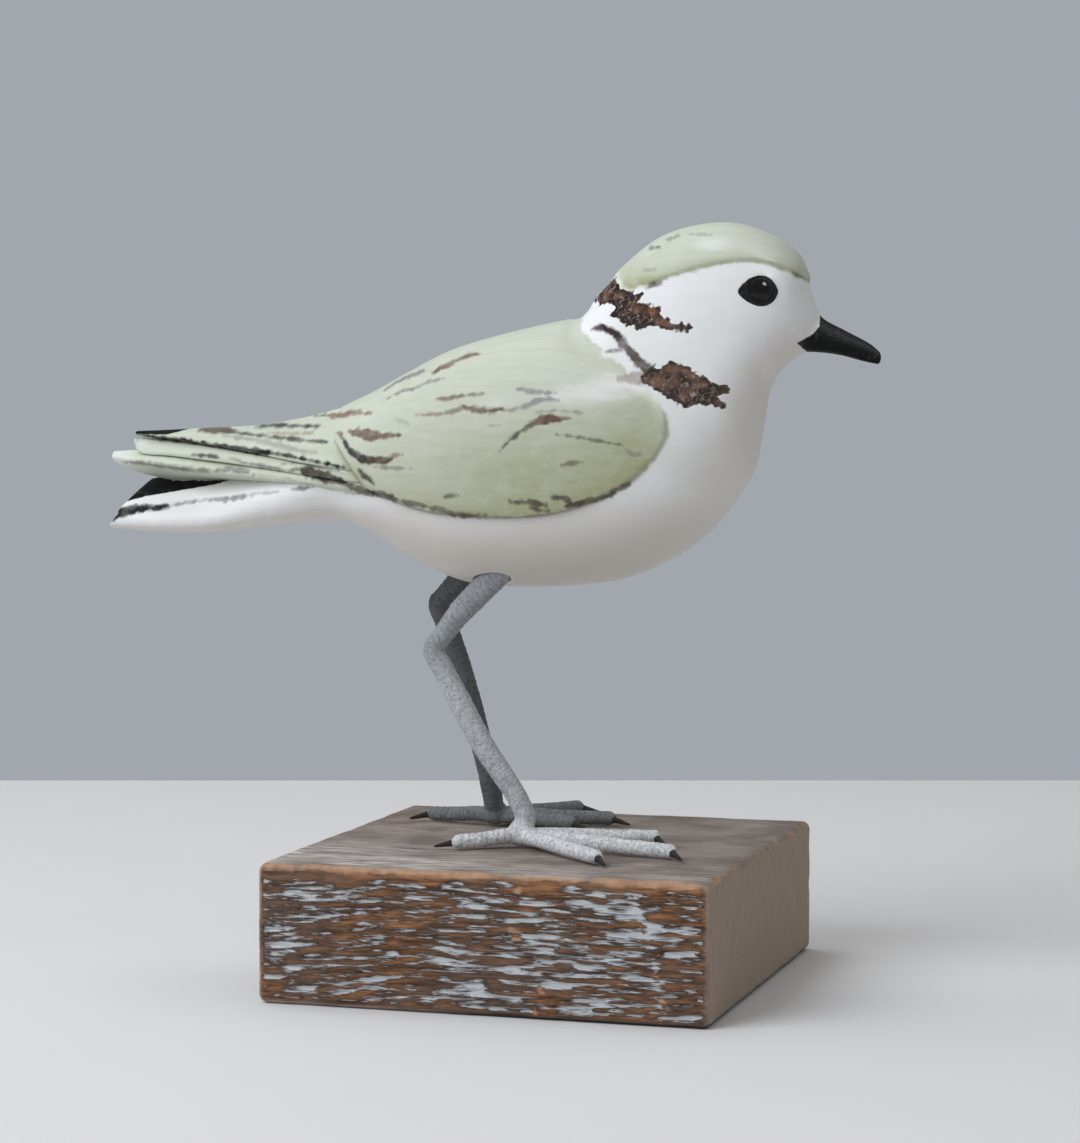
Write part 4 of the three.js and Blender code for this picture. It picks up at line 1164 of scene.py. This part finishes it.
def grey_painted_tape(name, thigh, shank, toes, dark):
    # Wire wound with tape and painted matt grey: dull and mottled, with painted shade in the groove where a
    # turn of tape ends, and lighter towards the toes
    m = new_material(name)
    place = add(m, "ShaderNodeTexCoord", out="Object")
    grit, blotch = (
        add(m, "ShaderNodeTexNoise", {
            "Vector": place, "Scale": per_mm(size), "Detail": detail, "Roughness": 0.6})
        for size, detail in ((0.55, 2), (2.4, 4)))
    low, edge, claw = (add(m, "ShaderNodeAttribute", attribute_name=noted, out="Fac")
                       for noted in ("low", "turn_edge", "claw"))
    colour = add(m, "ShaderNodeValToRGB", {"Fac": low})
    stops = colour.node.color_ramp.elements
    stops[0].color, stops[1].color = linear(thigh), linear(toes)
    stops.new(0.5).color = linear(shank)
    fleck, patch, rough = (
        add(m, "ShaderNodeMapRange", {"Value": pattern, "From Min": low, "From Max": high, "To Min": least,
                                      "To Max": most})
        for pattern, low, high, least, most in (
            (grit, 0.4, 0.68, 0, 0.5), (blotch, 0.46, 0.7, 0, 0.3), (blotch, 0, 1, 0.62, 0.85)))
    edge = add(m, "ShaderNodeMath", {0: edge, 1: 0.4}, operation="MULTIPLY")
    for share, coat in ((fleck, dark), (patch, dark), (edge, dark), (claw, "#2f2b28")):
        colour = add(m, "ShaderNodeMix", {0: share, 6: colour, 7: coat}, 2, data_type="RGBA")
    height = add(m, "ShaderNodeMath", {0: grit, 1: 0.8, 2: blotch}, operation="MULTIPLY_ADD")
    bump = add(m, "ShaderNodeBump", {"Height": height, "Strength": 0.8, "Distance": 0.16 * MM})
    tape = add(m, "ShaderNodeBsdfPrincipled", {
        "Base Color": colour, "Roughness": rough, "IOR": 1.5, "Normal": bump})
    add(m, "ShaderNodeOutputMaterial", {"Surface": tape})
    return m


def glass_bead():
    # A black glass bead: deep black under a hard clear gloss, with dust that dulls it a little
    m = new_material("black glass bead")
    place = add(m, "ShaderNodeTexCoord", out="Object")
    dust = add(m, "ShaderNodeTexNoise", {"Vector": place, "Scale": per_mm(1.5), "Detail": 3})
    rough = add(m, "ShaderNodeMapRange", {"Value": dust, "To Min": 0.05, "To Max": 0.1})
    colour = add(m, "ShaderNodeMix", {0: dust, 6: "#060606", 7: "#121110"}, 2, data_type="RGBA")
    glass = add(m, "ShaderNodeBsdfPrincipled", {
        "Base Color": colour, "Roughness": rough, "IOR": 1.52, "Specular IOR Level": 0.28})
    add(m, "ShaderNodeOutputMaterial", {"Surface": glass})
    return m


def limewashed_plank():
    # Rough-sawn old pine plank, limewashed and rubbed: brown torn grain, blue-white lime left in its
    # hollows, orange wood where hands and sandpaper wore the edges and the knots
    m = new_material("old sawn pine with rubbed limewash")
    place = add(m, "ShaderNodeTexCoord", out="Object")
    cloud, blotch = (add(m, "ShaderNodeTexNoise", {"Vector": place, "Scale": per_mm(size), "Detail": 3})
                     for size in (14, 2.5))
    # Along the plank: its grain, its fibres and the dabs of lime. On its ends: fine, nearly upright lines.
    grain, fibre, dab, end_line = (
        add(m, "ShaderNodeTexNoise", {"Scale": 1, "Detail": detail, "Roughness": rough, "Vector": add(
            m, "ShaderNodeMapping", {"Vector": place, "Rotation": (tilt, 0, 0), "Scale": per_mm(*sizes)})})
        for sizes, tilt, detail, rough in (
            ((9, 1.1, 0.9), 0, 6, 0.62), ((6, 0.35, 0.35), 0, 4, 0.6), ((4, 0.5, 0.38), 0, 3, 0.55),
            ((1, 0.8, 9), math.radians(6), 5, 0.6)))
    shows = {name: add(m, "ShaderNodeAttribute", attribute_name=name, out="Fac")
             for name in ("lime", "worn", "sawn_face", "end_grain", "wash", "grime")}
    shows.update(blotch=blotch, fibre=fibre)

    # Orange wood shows where fibres and spots were rubbed. Lime lies in patches broken up along the fibres,
    # with painted shade round them on the sawn faces, and it is gone from rubbed places.
    rubbed, lies = shows["worn"], shows["lime"]
    for pattern, share in ((fibre, 1.4), (blotch, 0.8)):
        rubbed = add(m, "ShaderNodeMath", {0: pattern, 1: share, 2: rubbed}, operation="MULTIPLY_ADD")
    rubbed = shows["rubbed"] = add(m, "ShaderNodeMapRange", {
        "Value": rubbed, "From Min": 1.3, "From Max": 1.95, "To Max": 0.85}, interpolation_type="SMOOTHSTEP")
    for pattern, share in ((dab, 2), (grain, 0.9), (rubbed, -0.7)):
        lies = add(m, "ShaderNodeMath", {0: pattern, 1: share, 2: lies}, operation="MULTIPLY_ADD")
    shows["lies"] = add(m, "ShaderNodeMapRange", {
        "Value": lies, "From Min": 1.32, "From Max": 1.84, "To Max": 0.95}, interpolation_type="SMOOTHSTEP")

    # How much the rest shows: a pattern, its values at the start and the end, and how much shows there
    for name, pattern, low, high, least, most in (
            ("streak", grain, 0.36, 0.62, 0, 1), ("grey", cloud, 0.42, 0.62, 0, 0.6),
            ("gap", fibre, 0.58, 0.68, 0, 0.7), ("line", grain, 0.35, 0.68, 0, 1),
            ("dark_fibre", fibre, 0.56, 0.72, 0, 0.5), ("stain", cloud, 0.42, 0.6, 0, 0.7),
            ("thin_wash", grain, 0.42, 0.6, 0.12, 1), ("end_tone", end_line, 0.3, 0.7, 0, 1),
            ("shade", lies, 0.8, 1.4, 0, 0.75)):
        shows[name] = add(m, "ShaderNodeMapRange", {
            "Value": pattern, "From Min": low, "From Max": high, "To Min": least, "To Max": most})
    for name, by in (("thin_wash", "wash"), ("shade", "sawn_face")):
        shows[name] = add(m, "ShaderNodeMath", {0: shows[name], 1: shows[by]}, operation="MULTIPLY")

    # Each colour, and what lies over it. Sawn faces are brown and streaked along the grain, with darker and
    # greyer stretches, and the top is greyer and smoother, with the same fibres. Painted shade lies round the
    # lime's patches, and a painted contact shadow along the bottom edges.
    colours = {}
    for name, colour, *coats in (
            ("sawn", "#49331f", ("streak", "#a3714d"), ("grey", "#6a574c"), ("gap", "#2f2018")),
            ("top", "#867a72", ("line", "#aba098"), ("dark_fibre", "#66574d"), ("stain", "#6d615a"),
             ("thin_wash", "#dcd6d3")),
            ("end", "#907f71", ("end_tone", "#a79583")),
            ("orange", "#8d6244", ("blotch", "#d8b08e")),
            ("pale", "#e9edf0", ("fibre", "#a3a8ae")),
            ("plank", "top", ("sawn_face", "sawn"), ("end_grain", "end"), ("rubbed", "orange"),
             ("shade", "#2b1e17"), ("lies", "pale"), ("grime", "#2a2019"))):
        colour = colours.get(colour, colour)
        for share, coat in coats:
            colour = add(m, "ShaderNodeMix", {
                0: shows[share], 6: colour, 7: colours.get(coat, coat)}, 2, data_type="RGBA")
        colours[name] = colour

    rough = add(m, "ShaderNodeMapRange", {"Value": fibre, "To Min": 0.62, "To Max": 0.9})
    height = grain
    for pattern, share in ((fibre, 0.6), (shows["lies"], 0.35)):
        height = add(m, "ShaderNodeMath", {0: pattern, 1: share, 2: height}, operation="MULTIPLY_ADD")
    bump = add(m, "ShaderNodeBump", {"Height": height, "Strength": 0.8, "Distance": 0.35 * MM})
    wood = add(m, "ShaderNodeBsdfPrincipled", {
        "Base Color": colours["plank"], "Roughness": rough, "IOR": 1.5, "Normal": bump})
    add(m, "ShaderNodeOutputMaterial", {"Surface": wood})
    return m


def pale_floor():
    # Plain pale board under matt paint
    m = new_material("matt painted board")
    place = add(m, "ShaderNodeTexCoord", out="Object")
    cloud = add(m, "ShaderNodeTexNoise", {"Vector": place, "Scale": per_mm(60), "Detail": 3})
    colour = add(m, "ShaderNodeMix", {0: cloud, 6: "#e2e2e3", 7: "#e6e6e7"}, 2, data_type="RGBA")
    paint = add(m, "ShaderNodeBsdfPrincipled", {"Base Color": colour, "Roughness": 0.85, "IOR": 1.5})
    add(m, "ShaderNodeOutputMaterial", {"Surface": paint})
    return m


# The block, sawn from an old plank

# Two drips down its front: heights from 0 to 1, and how far along the front they are there
DRIPS = [([0.2, 0.42, 0.55, 0.72, 0.95], [0.633, 0.605, 0.586, 0.56, 0.594]),
         ([0.1, 0.3, 0.5, 0.72, 0.95], [0.9, 0.892, 0.878, 0.856, 0.82])]


def box_grid(half, steps):
    """Points over a box and its four-sided faces, with the points along its edges shared."""
    lines = [np.linspace(-h, h, n + 1) for h, n in zip(half, steps)]
    faces, number = [], {}
    for axis in range(3):
        a, b = (axis + 1) % 3, (axis + 2) % 3
        for end in (0, steps[axis]):
            grid = np.empty((steps[a] + 1, steps[b] + 1), int)
            for i, j in np.ndindex(grid.shape):
                place = [0, 0, 0]
                place[axis], place[a], place[b] = end, i, j
                grid[i, j] = number.setdefault(tuple(place), len(number))
            quads = np.stack([grid[:-1, :-1], grid[1:, :-1], grid[1:, 1:], grid[:-1, 1:]], axis=-1)
            faces.append(quads.reshape(-1, 4)[:, ::1 if end else -1])
    points = [[line[step] for line, step in zip(lines, place)] for place in number]
    return np.array(points), np.concatenate(faces)


def plank_block(name):
    half = np.array([BLOCK_SIDE / 2, BLOCK_SIDE / 2, BLOCK_HEIGHT / 2])
    points, faces = box_grid(half, BLOCK_STEPS)

    # Which face a point is on, and how near it is to the block's edges, before they are rounded
    inner = np.clip(points, BLOCK_EDGE - half, half - BLOCK_EDGE)
    outwards = points - inner
    normal = outwards / np.linalg.norm(outwards, axis=1, keepdims=True)
    rounded = inner + normal * BLOCK_EDGE
    gap = half - np.abs(points)
    edge_gap = np.sort(gap, axis=1)[:, 1]
    sawn = np.abs(normal[:, 1]) ** 4
    end_grain = np.abs(normal[:, 0]) ** 4
    top = np.clip(normal[:, 2], 0, 1) ** 4

    # Torn grain: long thin hollows that run with the slightly waving grain, shallow between and few where
    # the face was rubbed
    x, y, z = rounded.T
    share = (x + half[0]) / BLOCK_SIDE
    high = (z + half[2]) / BLOCK_HEIGHT
    wave = 1.6 * lumps(rounded, [38, 60, 25], 21) - 0.1 * x * smooth_step(0.5, 0.1, share)
    wavy = np.stack([x, y, z + wave], axis=1)
    torn = 0.5 * lumps(wavy, [8, 6, 0.75], 22) + 0.75 * lumps(wavy, [3.8, 3, 0.45], 23)
    rubbed_left, limed_left = (
        strength * np.exp(-((share - along) / wide) ** 2 - ((high - up) / tall) ** 2)
        for strength, along, wide, up, tall in ((0.17, 0.27, 0.17, 0.42, 0.26), (0.12, 0.15, 0.2, 0.8, 0.2)))
    patches = 0.13 * lumps(rounded, [11, 30, 5], 31)
    bare = 0.1 - 0.01 * smooth_step(0.35, 0.55, share) + rubbed_left + patches - limed_left
    ragged_top = 2.2 + 1.4 * lumps(rounded[:, :2], 5, 33)
    inside_edges = smooth_step(0.5, 1.8, edge_gap) * smooth_step(0.2, 1.2, half[2] - z - ragged_top)
    bare = bare + 0.7 * (1 - inside_edges)
    drips = [np.exp(-((share - np.interp(high, *path)) / 0.012) ** 2) for path in DRIPS]
    bare = bare - 0.35 * drips[1] * sawn * (y < 0)
    hollow = smooth_step(-0.12, 0.3, torn - bare)
    depth = TORN_DEPTH * sawn * hollow + GRAIN_DEPTH * (top + 0.5 * end_grain) * np.clip(0.5 + torn, 0, 1)
    depth = depth + EDGE_WEAR * (1 - smooth_step(0, 2.5, edge_gap)) * np.clip(lumps(rounded, 4.5, 24), 0, 1)
    bottom = normal[:, 2] < -0.9
    placed = rounded - normal * np.where(bottom, 0, depth)[:, None]
    placed[:, 2] += BLOCK_HEIGHT / 2
    block = make_piece(name, placed, faces)

    # Limewash lies in the hollows of the sawn faces, and as a thin wash on the top's front left
    lime = sawn * (torn - bare) - (1 - sawn)
    washed = np.exp(-((share - 0.12) / 0.28) ** 2) * smooth_step(5, -45, y) + 0.35 * smooth_step(-20, -48, y)
    wash = top * washed * np.clip(0.75 + 0.9 * lumps(rounded[:, :2], [13, 4], 32), 0, 1.3)

    # Bare wood: along the top's edges, a little along the others, and in spots down the front's two drips
    spots = np.clip(1.8 * lumps(rounded, [2.4, 30, 1.7], 42) + 0.1, 0, 1)
    near_top = smooth_step(half[2] - 3.6, half[2] - 0.8, z)
    rubbed = (1 - smooth_step(0.2, 1.8 + 1.2 * near_top, edge_gap)) * (0.3 + 0.5 * near_top)
    worn = rubbed * (1 + 0.8 * lumps(rounded, 6, 43) + 0.4 * lumps(rounded, 2.4, 44))
    worn = worn * (1 - 0.4 * smooth_step(half[0] - 4, half[0] - 2.5, x))
    worn = np.clip(worn + 1.1 * sawn * (drips[0] + drips[1]) * spots * (y < 0), 0, 1.2)
    # Painted shade: a contact shadow along the bottom edges from the middle of the block to its right end,
    # and darker down the front's right-hand corner
    grime = (smooth_step(1.3, 0.4, z + half[2]) * smooth_step(0.25, 0.6, share)
             + 0.6 * (1 - smooth_step(0.3, 1.0, half[0] - x + half[1] + y)))
    put_values(block, wash=np.clip(wash, 0, 1), grime=np.clip(grime, 0, 1) * (1 - top), lime=lime, worn=worn,
               sawn_face=smooth_step(0.2, 0.6, sawn), end_grain=smooth_step(0.3, 0.7, end_grain))
    return block


def glass_eye(name, side):
    points, faces = bar_skin(eye_centre(side)[None], np.array([EYE_RADIUS]), EYE_SIDES)
    return make_piece(name, on_block(points), faces)


# The pieces, each with its finish, in place of the CAD node that it stands for

def dress(piece, material, node):
    piece.data.materials.clear()
    piece.data.materials.append(material)
    piece.data.shade_smooth()
    piece.data.set_sharp_from_angle(angle=SHARP_FROM)
    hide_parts(node)
    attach(piece, "root")


body = carved_body()
paint_body(body)
dress(body, chalk_painted_wood(), "body")

bead = glass_bead()
dress(glass_eye("right_bead", -1), bead, "right_eye")
dress(glass_eye("left_bead", 1), bead, "left_eye")

dress(wrapped_leg("right_wrapped_leg", RIGHT_STANCE),
      grey_painted_tape("matt grey paint on wound tape", "#a3a7ab", "#c6cace", "#eceef0", "#66696c"),
      "right_leg")
# The far leg is darker: darker grey paint, and painted shade for the body's shadow over it
dress(wrapped_leg("left_wrapped_leg", LEFT_STANCE),
      grey_painted_tape("darker grey paint on wound tape", "#626568", "#686b6e", "#85888b", "#38393c"),
      "left_leg")

dress(plank_block("plank_block"), limewashed_plank(), "block")


# Floor, light and camera

camera_turn = math.radians(16.99)
camera_tilt = math.radians(90 - 3.23)
camera_data = bpy.data.cameras.new("camera")
camera_data.lens = 97.98
camera_data.sensor_width = 36
camera = in_scene("camera", camera_data)
camera.location = (0.2017, -0.6654, 0.1303)
camera.rotation_euler = (camera_tilt, 0, camera_turn)
bpy.context.scene.camera = camera

FLOOR_HALF = 355   # its far side is the edge that the photo shows behind the block
corners = np.array([(-1, -1, 0), (1, -1, 0), (1, 1, 0), (-1, 1, 0)])
floor = make_piece("floor", FLOOR_HALF * corners, [(0, 1, 2, 3)])
floor.rotation_euler = (0, 0, camera_turn)
floor.data.materials.append(pale_floor())

world = bpy.data.worlds.new("plain studio")
bpy.context.scene.world = world
world.use_nodes = True
world.node_tree.nodes.clear()
room, wall = (add(world, "ShaderNodeBackground", {"Color": code, "Strength": 1})
              for code in ("#a1a1a1", "#a1a7ad"))
seen = add(world, "ShaderNodeLightPath", out="Is Camera Ray")
surround = add(world, "ShaderNodeMixShader", {0: seen, 1: room, 2: wall})
add(world, "ShaderNodeOutputWorld", {"Surface": surround})

# The large lights leave no bright discs in the gloss, and the small one only glints in the eye and the wax
LIGHT_AIM = Vector((0, 0, 0.1))
for name, place, size, power, colour, hidden_in in (
        ("large soft light, left and above", (-0.56, -0.72, 0.87), 0.9, 9.8, "#f4f9ff", "visible_glossy"),
        ("soft light overhead", (-0.29, 0.17, 1.05), 0.5, 2, "#ffffff", "visible_glossy"),
        ("small light that glints in the eye", (0.585, -0.238, 0.834), 0.45, 6, "#ffffff",
         "visible_diffuse")):
    lamp = bpy.data.lights.new(name, "AREA")
    lamp.shape = "DISK"
    lamp.size = size
    lamp.energy = power
    lamp.color = linear(colour)[:3]
    box = in_scene(name, lamp)
    box.location = place
    box.rotation_euler = (LIGHT_AIM - Vector(place)).to_track_quat("-Z", "Y").to_euler()
    box.visible_camera = False
    setattr(box, hidden_in, False)
bpy.context.scene.view_settings.view_transform = "Standard"
